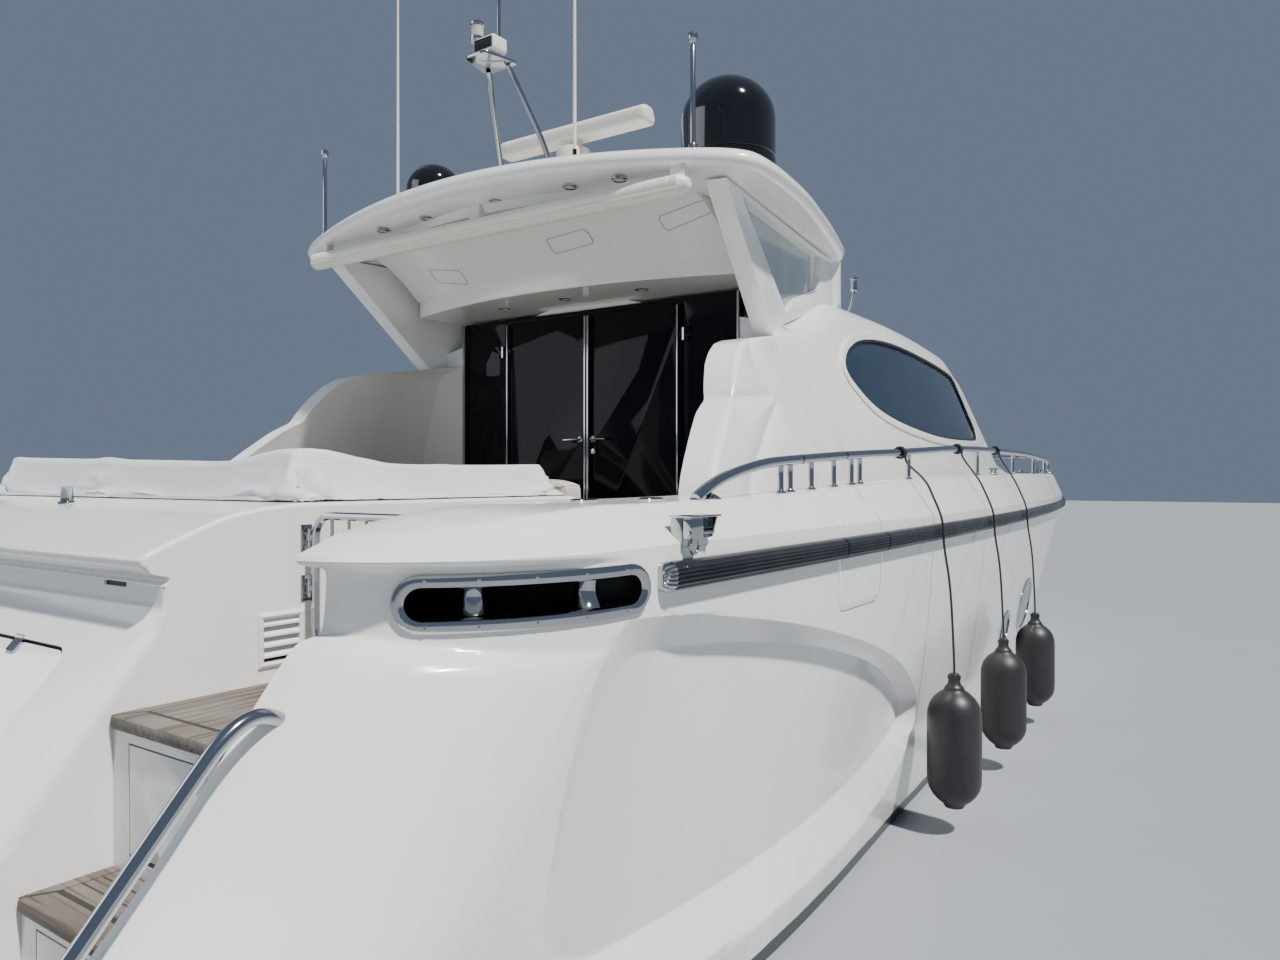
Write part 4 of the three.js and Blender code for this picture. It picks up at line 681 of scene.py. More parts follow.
def horn_height(x, y, z):
    """The new height of a point: the cap of each quarter thins to a fine edge aft."""
    if z <= HORN.under or y > -6.0:
        return z
    across = max(0.0, min(1.0, (abs(x) - CORNER_X) / 0.56))
    edge = HORN.edge + CORNER_LONG * (1 - sqrt(max(0.0, 1 - across * across)))
    t = max(0.0, min(1.0, (y - edge) / HORN.long))
    return HORN.under + (z - HORN.under) * (0.2 + 0.8 * sin(t * pi / 2) ** 0.9)


def make_hull_solid():
    """The whole hull before anything is cut from it.

    It has the transom, rounded quarters, sides and stem, and is then mirrored.
    """
    start = hull_column(SIDE_START)
    chine_x = start[BOTTOM_ROWS + 1][0]

    def corner_column(turn=None, x_share=None):
        column = []
        for i, (x, _, z) in enumerate(start):
            breadth = max(x, 1e-6)
            low = i <= BOTTOM_ROWS
            cap = i >= len(start) - 2
            reference = chine_x if low else start[-3][0] if cap else breadth
            inner = CORNER_X * breadth / reference
            aft = float(stern_at(z + quarter_drop(z) * sin(turn or 0) ** 2)[0])
            if turn is None:
                column.append(Vector((inner * x_share, aft, z)))
            else:
                column.append(Vector((inner + (breadth - inner) * sin(turn), aft + CORNER_LONG
                    * (1 - cos(turn)), z)))
        return column

    columns = [corner_column(x_share=share) for share in (0.0, 0.4, 0.8)]
    columns += [corner_column(turn=pi / 2 * i / 18) for i in range(19)]
    for i in range(1, 12):
        t = i / 12
        column = []
        for k, (_, _, z0) in enumerate(start):
            y = (float(stern_at(z0 + quarter_drop(z0))[0]) + CORNER_LONG) * (1 - t)
            y += SIDE_START * t
            x, _, z = hull_column_cached(y)[k]
            column.append((x, y, z))
        columns.append(column)
    stations = spread(SIDE_START, 4.4, 90) + spread(4.6, 9.2, 34) + [9.32, 9.43, 9.53, 9.6, 9.65]
    for y in stations:
        columns.append([(x, y + dy, z) for x, dy, z in hull_column(y)])
    columns.append([(0.0, y + 0.02, z) for _, y, z in columns[-1]])
    half = skin("hull_shell", columns, ring=False)
    for vertex in half.data.vertices:
        if abs(vertex.co.x) < 1e-4:
            vertex.co.x = 0
        vertex.co.z = horn_height(*vertex.co)
    modify(half, "MIRROR", use_axis=(True, False, False), use_mirror_merge=True, merge_threshold=0.0005)
    return tidy_normals(half, 0.0002)


COLUMN_CACHE = {}


def hull_column_cached(y):
    key = round(y, 2)
    if key not in COLUMN_CACHE:
        COLUMN_CACHE[key] = hull_column(key)
    return COLUMN_CACHE[key]


# Mooring slots: level, with round ends, across the quarters' slanted normal
MOORING = SimpleNamespace(z=1.668, height=0.108, half=0.362, turn=0.68, shift=0.036)


def slot_outline(half, radius, steps=10):
    long = half - MOORING.height / 2
    points = []
    for centre, start in ((long, -90), (-long, 90)):
        for i in range(steps + 1):
            turn = radians(start + 180 * i / steps)
            points.append((centre + radius * cos(turn), radius * sin(turn)))
        edge = radius if start < 0 else -radius
        points += [(u, edge) for u in spread(centre, -centre, 16)[1:-1]]
    return points


def slot_frame(side):
    """Centre, outward normal and level direction of a mooring slot."""
    turn = MOORING.turn
    normal = Vector((side * cos(turn), -sin(turn), 0))
    level = Vector((-normal.y, normal.x, 0)) * side
    centre = Vector((side * (CORNER_X + 0.61 * cos(turn)), -7.44 + 0.86 * (1 - sin(turn)), MOORING.z))
    return centre + level * MOORING.shift, normal, level


def slot_solid(name, side, growth, inward, outward, outline=None):
    """A solid of the slot's outline, or another one, along the slot's normal."""
    centre, normal, level = slot_frame(side)
    points = outline or slot_outline(MOORING.half, MOORING.height / 2 + growth)
    rows = [[centre + level * u + Vector((0, 0, v)) + normal * w for u, v in points] for w in (-inward,
        outward)]
    return skin(name, rows)


GATE = SimpleNamespace(aft=-5.15, fwd=-4.6, sill=1.402, radius=0.06, top=2.2)


def gate_solid(name, side, gap, inner=2.0, outer=2.6):
    outline = rounded_outline(GATE.aft + gap, GATE.fwd - gap, GATE.sill + gap, 3.0, GATE.radius)
    x0, x1 = sorted((side * inner, side * outer))
    return prism(name, [(y, min(z, GATE.top)) for y, z in outline], "X", x0, x1)


def bulwark_cutter():
    """What is open above the decks, between the bulwarks."""
    rows = []
    for y in [-9.6, -9.0] + spread(-8.0, -5.65, 4) + [-5.56] + spread(-5.4, 9.3, 70):
        inner, deck = hull_at(y)[8], hull_at(y)[9]
        camber = 0.02 * min(1, inner / 1.5) if deck > SOLE_Z else 0
        rows.append([(-inner * 0.99, y, deck), (0, y, deck + camber), (inner * 0.99, y, deck),
            (inner, y, 3.0), (-inner, y, 3.0)])
    return skin("bulwark_cutter", rows)


LOCKERS = {
    "upper": {"y": LANDING_Y + 0.014, "bottom": 0.962, "top": 1.262},
    "lower": {"y": TREAD_Y + 0.014, "bottom": 0.532, "top": 0.842},
}
LOCKER_IN, LOCKER_OUT = 1.39, 1.77


def hull_cutters():
    cutters = [bulwark_cutter(), block("well", (-1.3, -9.5, 0.351), (1.3, SOFA_AFT, 2.4)),
        block("cockpit", (-1.7, -5.65, SOLE_Z - BOARD), (1.7, -3.778, 2.4)),
        block("saloon", (-1.62, -3.79, SOLE_Z), (1.62, 0.9, 2.4))]
    steps = [(-9.5, 0.35), (TREAD_Y + 0.014, 0.35), (TREAD_Y + 0.014, TREAD_Z - BOARD), (LANDING_Y + 0.014,
        TREAD_Z - BOARD), (LANDING_Y + 0.014, SOLE_Z - BOARD), (-7.0, SOLE_Z - BOARD), (-7.0, 2.4),
        (-9.5, 2.4)]
    for side in SIDES.values():
        x0, x1 = sorted((side * (STAIR_IN - 0.001), side * STAIR_OUT))
        cutters.append(prism("steps", steps, "X", x0, x1))
        for locker in LOCKERS.values():
            cutters.append(side_block("locker_hole", side, LOCKER_IN - 0.006, LOCKER_OUT + 0.006,
                locker["y"] - 0.06, locker["y"] + 0.036, locker["bottom"] - 0.014, locker["top"] + 0.006))
        cutters.append(slot_solid("slot", side, 0, 0.3, 0.3))
        cutters.append(gate_solid("gate_hole", side, 0))
        cutters.append(relief_cutter(side))
    return cutters


def rounded_edges(obj, wanted, radius, segments=4):
    """Rounds the sharp edges that a test on their middle picks."""
    mesh = bmesh.new()
    mesh.from_mesh(obj.data)
    edges = [edge for edge in mesh.edges if len(edge.link_faces) == 2
        and edge.calc_face_angle(0) >= radians(30) and wanted((edge.verts[0].co + edge.verts[1].co) / 2)]
    bmesh.ops.bevel(mesh, geom=edges, offset=radius, segments=segments, profile=0.5, affect="EDGES",
        clamp_overlap=True)
    mesh.to_mesh(obj.data)
    mesh.free()
    return obj


def make_mooring_port(name, side, shell):
    """A polished flange round the slot, a box behind it in near black as painted shade inside the slot, and
    two waisted bollards on a bright sill.
    """
    centre, normal, level = slot_frame(side)
    outline = slot_outline(MOORING.half, MOORING.height / 2, 12)
    rows = []
    long = MOORING.half - MOORING.height / 2
    for u, v in outline:
        start = centre + level * u + Vector((0, 0, v))
        found, hit, _, _ = shell.ray_cast(start + normal * 0.5, -normal)
        face = hit if found else start
        away = (level * (u - max(-long, min(long, u))) + Vector((0, 0, v))).normalized()
        row = []
        for out, proud in ((-0.012, -0.075), (-0.014, 0.004), (-0.009, 0.013), (0.002, 0.016),
                (0.016, 0.014), (0.023, 0.008), (0.025, -0.01), (-0.003, -0.012), (-0.003, -0.075)):
            row.append(face + away * out + normal * proud)
        rows.append(row)
    parts = [hoop("flange", rows)]
    foot = MOORING.z - MOORING.height / 2
    for place, deep in ((-0.165, 0.1), (0.165, 0.14)):
        at = centre + level * place - normal * deep
        parts.append(spun("bollard", (at.x, at.y, foot + 0.004), [(58, 0), (58, 6), (48, 14), (36, 38),
            (32, 58), (34, 78), (44, 98), (54, 106), (55, 112), (46, 117), (0, 118)], 32))
    sill = slot_solid("sill", side, -0.002, 0.19, -0.03, [(u, min(v, -MOORING.height / 2 + 0.007))
        for u, v in slot_outline(MOORING.half - 0.004, MOORING.height / 2 - 0.002)])
    parts.append(combine(sill, [moved_in(shell, side, 0.006)], "INTERSECT"))
    for u in (-0.3, -0.16, 0.0, 0.15, 0.29):
        for v in (-1, 1):
            start = centre + level * u + Vector((0, 0, v * (MOORING.height / 2 + 0.009)))
            found, hit, _, _ = shell.ray_cast(start + normal * 0.5, -normal)
            if found:
                parts.append(spun("screw", hit + normal * 0.0135, [(5.5, 0), (5, 2.2), (0, 3)], 10, normal))
    bright(f"mooring_port_{name}_fine", parts, [f"mooring_port_{name}"])
    # The box behind the slot is near black: painted shade for the dark inside of the slot.
    lining = slot_solid("lining", side, -0.004, 0.285, 0.05)
    combine(lining, [slot_solid("lining_inside", side, -0.009, 0.27, 0.1)])
    combine(lining, [moved_in(shell, side, 0.012)], "INTERSECT")
    lining.name = f"mooring_slot_shade_{name}"
    dress(lining, DARK)


def moved_in(shell, side, push):
    """The hull's own solid, moved inboard along a mooring slot's normal."""
    copy = doubled(shell)
    step = slot_frame(side)[1] * push
    for vertex in copy.data.vertices:
        vertex.co -= step
    return copy


def make_hull():
    whole = make_hull_solid()
    bpy.context.view_layer.update()
    for name, side in SIDES.items():
        gate = combine(doubled(whole), [gate_solid("gate_block", side, 0.005)], "INTERSECT")
        combine(gate, [bulwark_cutter(), relief_cutter(side)])
        gate.name = f"gate_panel_{name}"
        chamfered(gate, 0.003)
        dress(gate, HULL_GELCOAT, [f"side_gate_{name}"], f"gate_{name}", angle=38)
        make_mooring_port(name, side, whole)
    combine(whole, hull_cutters())
    rounded_edges(whole, lambda p: abs(abs(p.x) - 1.9) < 0.002 and p.y < -7.45 and 0.36 < p.z < 1.75, 0.022)
    dress(whole, HULL_GELCOAT, ["hull"], angle=38)
    modify(whole, "WEIGHTED_NORMAL", keep_sharp=True, weight=80)


make_hull()


# Rub rails: dark fluted strips along the topsides, with bright end caps
RUB = SimpleNamespace(half=0.046, proud=0.044, aft=-6.6)


def rub_row(side, y, shrink=0.0):
    """A section of the rail: a crowned face with fine flutes."""
    rake, x = hull_at(y)[0], hull_at(y)[5]
    half = RUB.half - shrink
    row = [Vector((side * (x - 0.006), y - rake * half, RAIL_Z - half))]
    for i in range(29):
        k = -1 + 2 * i / 28
        crown = (RUB.proud - shrink) * (1 - 0.45 * k ** 4 - 0.1 * k * k)
        flute = 0.003 * cos(k * pi * 7) * (1 if abs(k) < 0.9 else 0)
        row.append(Vector((side * (x + crown + flute), y + rake * half * k, RAIL_Z + half * k)))
    row.append(Vector((side * (x - 0.006), y + rake * half, RAIL_Z + half)))
    return row


def rub_strip(name, side, start, end, count):
    return skin(name, [rub_row(side, y) for y in spread(start, end, count)])


def make_rub_rails():
    for name, side in SIDES.items():
        aft = rub_strip(f"rub_rail_aft_{name}_fine", side, RUB.aft + 0.03, GATE.aft - 0.006, 12)
        dress(aft, RAIL_RUBBER, [f"rub_rail_aft_{name}"], angle=50)
        cap_rows = []
        for back, shrink in ((0.034, 0.018), (0.03, 0.01), (0.022, 0.003), (0.012, 0.0), (-0.012, -0.003),
                (-0.012, 0.002)):
            cap_rows.append([Vector((p.x, RUB.aft + 0.03 - back, p.z)) for p in rub_row(side,
                RUB.aft + 0.03, shrink)])
        cap = skin(f"rub_rail_end_{name}", cap_rows)
        dress(cap, STEEL, angle=50)
        strip = rub_strip(f"gate_rub_rail_{name}", side, GATE.aft + 0.006, GATE.fwd - 0.006, 6)
        dress(strip, RAIL_RUBBER, body=f"gate_{name}", angle=50)
    sides = [rub_strip("rub_rail_bow", side, GATE.fwd + 0.006, 9.62, 70) for side in SIDES.values()]
    nose = skin("rub_nose", [[Vector((0.1 * cos(a), 9.6 + 0.085 * max(0, sin(a)) - 0.03, z))
        for a in spread(0, pi, 13)] for z in spread(RAIL_Z - 0.045, RAIL_Z + 0.045, 7)])
    dress(joined("rub_rail_forward_fine", sides + [nose]), RAIL_RUBBER, ["rub_rail_forward"], angle=50)


make_rub_rails()


# Handrails. Columns: y, z of the tube's middle
RAIL_LINE = [(-6.06, 1.945), (-5.95, 1.985), (-5.8, 2.02), (-5.5, 2.063), (-5.1, 2.087), (-4.5, 2.117),
    (-3.65, 2.15), (-2.34, 2.205), (-0.8, 2.23), (1.0, 2.24), (2.6, 2.23), (4.5, 2.24), (6.2, 2.28),
    (7.6, 2.33), (8.7, 2.37)]
rail_at = smooth_table(RAIL_LINE)
TUBE_R = 0.023
BOW_POSTS = [-4.5, -4.38, -3.54, -1.7, 0.0, 1.6, 3.1, 4.5, 5.8, 7.0, 8.1]


def rail_point(side, y):
    return Vector((side * (hull_at(y)[6] - 0.06), y, float(rail_at(y)[0])))


def rail_run(side, start, end, count):
    return [rail_point(side, y) for y in spread(start, end, count)]


def stanchion(side, y):
    """A round upright with a foot plate, a collar under the rail and two screws."""
    top = rail_point(side, y)
    foot = float(hull_at(y)[7])
    parts = [turned("upright", (top.x, y, foot), [(0.0, 0), (0.026, 0), (0.026, 0.004), (0.017, 0.009),
        (0.0135, 0.014), (0.0135, top.z - foot - 0.03), (0.0165, top.z - foot - 0.012),
        (0.0, top.z - foot - 0.008)], 20)]
    for dx, dy in ((0.019, 0), (-0.019, 0)):
        parts.append(spun("screw", (top.x + dx, y + dy, foot + 0.004), [(3.5, 0), (3, 1.8), (0, 2)], 8))
    return parts


def make_handrails():
    for name, side in SIDES.items():
        run = rail_run(side, -5.8, GATE.aft - 0.006, 9)
        x = rail_point(side, -6.06).x
        start = [(x, -6.1, 1.922), (x, -6.06, 1.942), (x, -6.0, 1.967), (x, -5.92, 1.994)]
        parts = [pipe("rail", start + run, TUBE_R, 20)]
        parts.append(spun("rail_foot", (x, -5.985, 1.918), [(40, 0), (40, 6), (30, 14), (0, 30)], 24))
        for y in (-5.26, -5.36):
            parts += stanchion(side, y)
        bright(f"handrail_aft_{name}_fine", parts, [f"handrail_aft_{name}"])
        parts = [pipe("gate_rail", rail_run(side, GATE.aft + 0.006, GATE.fwd - 0.006, 5), TUBE_R, 20)]
        for y in (-5.02, -4.74):
            parts += stanchion(side, y)
        bright(f"gate_handrail_{name}", parts, body=f"gate_{name}")
    bend = [(0.3, 9.06, 2.381), (0.18, 9.3, 2.39), (0.0, 9.4, 2.395), (-0.18, 9.3, 2.39),
        (-0.3, 9.06, 2.381)]
    starboard, port = (rail_run(side, GATE.fwd + 0.006, 8.7, 34) for side in (1, -1))
    parts = [pipe("bow_rail", starboard + bend + port[::-1], TUBE_R, 20)]
    for side in SIDES.values():
        for y in BOW_POSTS:
            parts += stanchion(side, y)
    bright("bow_rail_fine", parts, ["bow_rail"])


make_handrails()


# Teak laid in planks with black caulk between them
PLANK = 0.05
CAULK_W = 0.005


def plank(x0, x1, y0, y1, top, thick):
    return block("board", (x0, y0, top - thick), (x1, y1, top), 0.0012, 1)


def boards_along(name, x0, x1, y0, y1, top, thick):
    """Boards that run fore and aft."""
    count = max(1, round((x1 - x0) / PLANK))
    edges = spread(x0, x1, count + 1)
    return joined(name, [plank(a + CAULK_W / 2, b - CAULK_W / 2, y0, y1, top, thick)
        for a, b in zip(edges, edges[1:])])


def boards_across(name, x0, x1, y0, y1, top, thick):
    count = max(1, round((y1 - y0) / PLANK))
    edges = spread(y0, y1, count + 1)
    return joined(name, [plank(x0, x1, a + CAULK_W / 2, b - CAULK_W / 2, top, thick)
        for a, b in zip(edges, edges[1:])])


def margin_board(name, points, top, thick, bevel=0.002):
    """A margin board with slanting ends, from its outline seen from above."""
    return chamfered(prism(name, points, "Z", top - thick, top), bevel)


def step_boards(name, side, nose_y, back_y, top, along):
    """Boards of a stair step: a thick rounded nose, an inner margin and planks between them."""
    near, far = side * (STAIR_IN + 0.002), side * (STAIR_OUT - 0.004)
    margin = 0.085
    inset = near + side * 0.045
    nose = margin_board("nose", [(near, nose_y), (far, nose_y), (far, nose_y + margin),
        (inset, nose_y + margin)], top, 0.04, 0.011)
    edge = margin_board("edge", [(near, nose_y + 0.006), (inset, nose_y + margin + 0.006), (inset, back_y),
        (near, back_y)], top, 0.018)
    low, high = sorted((inset + side * CAULK_W, far))
    lay = boards_along if along else boards_across
    field = lay("field", low, high, nose_y + margin + CAULK_W, back_y, top, 0.018)
    dress(joined(name, [nose, edge, field]), TEAK_ALONG if along else TEAK_ACROSS)
    bed = side_block(name + "_caulk", side, STAIR_IN + 0.004, STAIR_OUT - 0.005, nose_y + 0.03,
        back_y - 0.001, top - 0.0195, top - 0.0007)
    dress(bed, CAULK)


def make_boards():
    for name, side in SIDES.items():
        step_boards(f"landing_boards_{name}", side, LANDING_Y, -5.665, SOLE_Z, True)
        step_boards(f"tread_boards_{name}", side, TREAD_Y, LANDING_Y + 0.012, TREAD_Z, False)
    cockpit = boards_along("cockpit_boards", -1.686, 1.686, -5.598, BULKHEAD_Y + 0.036, SOLE_Z, 0.018)
    dress(cockpit, TEAK_ALONG, ["cockpit_sole"])
    dress(block("cockpit_caulk", (-1.687, -5.599, SOLE_Z - 0.0195), (1.687, BULKHEAD_Y + 0.037,
        SOLE_Z - 0.0007)), CAULK)
    fillers = [side_block("deck_filler", side, 1.688, 1.878, -5.664, -5.6, SOLE_Z - 0.0195, SOLE_Z - 0.001)
        for side in SIDES.values()]
    dress(joined("cockpit_threshold", fillers), TEAK_ALONG)


make_boards()


# Swim platform: a moulded slab with teak let into its top
def make_platform():
    half = [(1.5, -9.6), (1.7, -9.57), (1.86, -9.47), (1.94, -9.3), (1.98, -8.46), (STAIR_OUT - 0.001,
        -8.46), (STAIR_OUT - 0.001, TREAD_Y + 0.013), (STAIR_IN + 0.001, TREAD_Y + 0.013),
        (STAIR_IN + 0.001, -8.481)]
    slab = prism("swim_platform_slab", mirrored(half), "Z", PLATFORM_Z - 0.128, PLATFORM_Z - 0.01)
    chamfered(slab, 0.028, 4)
    dress(slab, GELCOAT, ["swim_platform"])
    parts = []
    edges = spread(-9.54, -8.5, 22)
    for y0, y1 in zip(edges, edges[1:]):
        reach = 1.9 - (0.0 if y0 > -9.3 else 1.98 * (-9.3 - y0) ** 1.4)
        parts.append(plank(-reach, reach, y0 + CAULK_W / 2, y1 - CAULK_W / 2, PLATFORM_Z, 0.012))
    dress(joined("platform_boards", parts), TEAK_ACROSS)
    bed = [(1.52, -9.555), (1.72, -9.52), (1.86, -9.4), (1.905, -9.3), (1.905, -8.495)]
    dress(prism("platform_caulk", mirrored(bed), "Z", PLATFORM_Z - 0.012, PLATFORM_Z - 0.0008), CAULK)
    feet = []
    for side in SIDES.values():
        x0, x1 = sorted((side * (STAIR_IN + 0.03), side * (STAIR_OUT - 0.02)))
        feet.append(boards_across("foot_boards", x0, x1, -8.47, TREAD_Y, PLATFORM_Z, 0.012))
    dress(joined("stair_foot_boards", feet), TEAK_ACROSS)


make_platform()


# Transom moulding: soft-edged block with the sunbed base, the slope of the garage and its side vents
MOULDING = [(-8.48, 0.352), (-8.48, 0.5), (-7.575, 1.575), (-7.555, 1.615), (-7.555, 1.684), (-7.538, 1.69),
    (-7.538, 1.704), (-7.59, 1.716), (-7.622, 1.742), (-7.615, 1.775), (-7.545, 1.806), (-7.44, 1.85),
    (-7.346, 1.884), (-7.22, 1.906), (-7.095, 1.916), (SOFA_AFT - 0.001, 1.916), (SOFA_AFT - 0.001, 0.352)]
GARAGE_HALF = 0.95
SLOPE_FOOT = Vector((0, -8.48, 0.5))
SLOPE_HEAD = Vector((0, -7.54, 1.6))


def inset_outline(points, amounts):
    """An outline in the (Y, Z) plane drawn in corner by corner."""
    out = []
    count = len(points)
    for i in range(count):
        before, here, after = (Vector(points[(i + k) % count]) for k in (-1, 0, 1))
        e1, e2 = (here - before).normalized(), (after - here).normalized()
        n1, n2 = Vector((e1.y, -e1.x)), Vector((e2.y, -e2.x))
        normal = n1 + n2
        normal = normal / max(normal.dot(n1), 0.45)
        out.append(here + normal * amounts[i])
    return out


def slope_point(x, along, out):
    """A place on the garage's slope: across, up along it from its middle, and out from it."""
    slope = (SLOPE_HEAD - SLOPE_FOOT).normalized()
    normal = Vector((0, -slope.z, slope.y))
    middle = Vector((0, -7.99, SLOPE_FOOT.z + (-7.99 + 8.48) * 1.1 / 0.94))
    return middle + slope * along + normal * out + Vector((x, 0, 0))


def slope_block(name, half, long, outward, inward, corner=0.07):
    outline = rounded_outline(-half, half, -long, long, corner)
    return skin(name, [[slope_point(x, a, h) for x, a in outline] for h in (outward, -inward)])


def make_moulding():
    rows = []
    half = STAIR_IN - 0.0005
    outline = [Vector(p) for p in soft_loop(MOULDING, 0.03, 3)]
    area = sum(a.x * b.y - b.x * a.y for a, b in zip(outline, outline[1:] + outline[:1]))
    sign = 1 if area < 0 else -1
    radii = []
    for y, z in outline:
        slope = smooth_step((1.6 - z) / 0.14) if y < -7.56 else 0.0
        radii.append(0.003 if abs(z - 1.7) < 0.022 and y < -7.5 else 0.014 + 0.08 * slope)
    for i in range(7):
        turn = pi / 2 * i / 6
        drawn = inset_outline(outline, [sign * radius * (1 - sin(turn)) for radius in radii])
        rows.append([Vector((-half + radius * (1 - cos(turn)), p.x, p.y))
            for radius, p in zip(radii, drawn)])
    hub = Vector((-half, -7.1, 1.55))
    ends = [[hub.lerp(p, scale) for p in rows[0]] for scale in (0.02, 0.25, 0.5, 0.75, 0.93)]
    rows = ends + rows
    rows += [[Vector((-p.x, p.y, p.z)) for p in row] for row in reversed(rows)]
    body = skin("moulding", rows)
    long = hypot(0.68, 0.68 * 1.1 / 0.94) / 2
    cutters = [block("garage_room", (-0.91, -8.18, 0.56), (0.91, -6.3, 1.44)), slope_block("garage_hole",
        GARAGE_HALF, long, 0.3, 0.066), block("slot", (0.945, -7.6, 1.664), (1.085, -7.54, 1.68), 0.004)]
    for side in SIDES.values():
        cutters.append(side_block("vent_hole", side, STAIR_IN - 0.025, STAIR_IN + 0.05, -7.25, -7.08, 1.385,
            1.56))
    combine(body, cutters)
    dress(body, GELCOAT, ["transom_moulding"], angle=40)
    modify(body, "WEIGHTED_NORMAL", keep_sharp=True, weight=80)
    body.name = "transom_moulding_fine"
    door = slope_block("garage_door_panel", GARAGE_HALF - 0.006, long - 0.006, 0.0, 0.058)
    chamfered(door, 0.007, 3)
    straps = [slope_strap(x, long) for x in (-0.6, 0.6)]
    rows = []
    for grow, out in ((0.012, -0.01), (0.012, 0.002), (-0.001, 0.002), (-0.001, -0.01)):
        rows.append([slope_point(x, a, out) for x, a in rounded_outline(-GARAGE_HALF - grow,
            GARAGE_HALF + grow, -long - grow, long + grow, 0.07 + grow)])
    dress(hoop("garage_gasket", rows), RUBBER)
    # A dark plate at the back of the shallow slot: painted shade, so the slot reads dark inside.
    dress(block("slot_back_shade", (0.94, -7.546, 1.66), (1.09, -7.536, 1.684)), RUBBER)
    catch = [spun("catch", slope_point(0, -long + 0.1, 0.001), [(30, 0), (30, 3), (24, 5), (22, 1)], 28,
        slope_point(0, 0, 1) - slope_point(0, 0, 0))]
    dress(door, GELCOAT, ["garage_door"], "garage")
    bright("garage_door_gear", straps + catch, body="garage")
    make_vents()


def slope_strap(x, long):
    """Hinge leaf and its barrel over the garage door's upper edge."""
    leaf = skin("strap", [[slope_point(x + dx, a, h) for dx, a in rounded_outline(-0.03, 0.03, long - 0.05,
        long + 0.004, 0.008)] for h in (0.009, -0.002)])
    ends = [slope_point(x + dx, long + 0.004, 0.008) for dx in (-0.028, 0.028)]
    return joined("hinge", [leaf, rod("barrel", ends, 0.008, 12)])


def make_vents():
    for name, side in SIDES.items():
        face = STAIR_IN - 0.0005
        outer = [(-7.25, 1.385), (-7.08, 1.385), (-7.08, 1.56), (-7.25, 1.56)]
        inner = [(-7.232, 1.403), (-7.098, 1.403), (-7.098, 1.542), (-7.232, 1.542)]
        rows = [[Vector((side * (face + x), y, z)) for y, z in loop] for x, loop in ((-0.02, outer),
            (0.006, outer), (0.01, [(y * 0.9 + -7.165 * 0.1, z * 0.9 + 1.4725 * 0.1) for y, z in outer]),
            (0.006, inner), (-0.02, inner))]
        parts = [hoop("vent_frame", rows)]
        for i in range(4):
            z = 1.42 + 0.034 * i
            low, high = side * (face - 0.018), side * (face + 0.006)
            parts.append(skin("slat", [[(low, y, z + 0.02), (high, y, z - 0.004), (high, y, z + 0.002),
                (low, y, z + 0.026)] for y in (-7.233, -7.097)]))
        dress(joined(f"vent_{name}", parts), GELCOAT, angle=25)
        # A near-black plate behind the slats: painted shade for the dark space behind the vent.
        dress(side_block(f"vent_back_shade_{name}", side, face - 0.0245, face - 0.021, -7.249, -7.081, 1.386,
            1.559), DARK)


make_moulding()


# Stair rails and the small gates across the stairs
STAIR_RAIL = [(-7.6, 1.385), (-7.64, 1.412), (-7.69, 1.43), (-7.74, 1.42), (-7.79, 1.385), (-7.83, 1.345),
    (-8.106, 1.026), (-8.36, 0.733), (-8.41, 0.675), (-8.43, 0.635), (-8.42, 0.595), (-8.38, 0.565)]
STAIR_RAIL_X = 1.985


def flange_at(place, axis):
    """A round foot plate with three screws."""
    parts = [spun("flange", place, [(36.5, 0), (36.5, 4), (33, 7.5), (25, 10), (21.5, 18), (0, 19)], 32,
        axis)]
    axis = Vector(axis).normalized()
    across = axis.cross(Vector((1, 0, 0))).normalized()
    for i in range(3):
        spin = Matrix.Rotation(2 * pi * i / 3, 3, axis)
        parts.append(spun("screw", Vector(place) + spin @ across * 0.03 + axis * 0.006,
            [(4.2, 0), (3.6, 2.2), (0, 2.6)], 10, axis))
    return parts


def make_stair_gear():
    for name, side in SIDES.items():
        line = [(side * STAIR_RAIL_X, y, z) for y, z in STAIR_RAIL]
        parts = [pipe("stair_rail", line, 0.0205, 24)]
        parts += flange_at((side * STAIR_RAIL_X, -7.607, 1.382), (0, -0.92, 0.4))
        parts += flange_at((side * STAIR_RAIL_X, -8.372, 0.558), (0, -0.72, 0.69))
        bright(f"stair_rail_{name}_fine", parts, [f"stair_rail_{name}"])
        x0, x1, foot, head, y = 1.352, 1.868, 1.43, 1.875, -7.07
        loop = [(side * x, y, z) for x, z in rounded_outline(x0, x1, foot, head, 0.075, 6)]
        parts = [ring_tube("gate_frame", loop, 0.014, 16)]
        for x in spread(side * x0, side * x1, 7)[1:-1]:
            parts.append(rod("gate_bar", [(x, y, foot + 0.006), (x, y, head - 0.006)], 0.0055, 12))
        for z in (1.6, 1.77):
            parts.append(side_block("hinge_leaf", side, 1.318, x0 + 0.002, y - 0.006, y + 0.006, z + 0.021,
                z + 0.039, 0.002))
            parts.append(spun("hinge_barrel", (side * 1.322, y, z + 0.0205), [(9, 0), (9, 19)], 16))
        bright(f"stair_gate_{name}_fine", parts, [f"stair_gate_{name}"], f"stairgate_{name}")
        fixed = []
        for z in (1.6, 1.77):
            for z0 in (z, z + 0.041):
                fixed.append(spun("hinge_barrel", (side * 1.322, y, z0), [(9, 0), (9, 18.5)], 16))
                fixed.append(side_block("hinge_lug", side, 1.2985, 1.322, y - 0.006, y + 0.006, z0,
                    z0 + 0.0185, 0.001))
            fixed.append(side_block("hinge_plate", side, 1.2985, 1.304, y - 0.022, y + 0.022, z - 0.014,
                z + 0.074, 0.002))
        bright(f"stair_gate_hinges_{name}", fixed)


make_stair_gear()


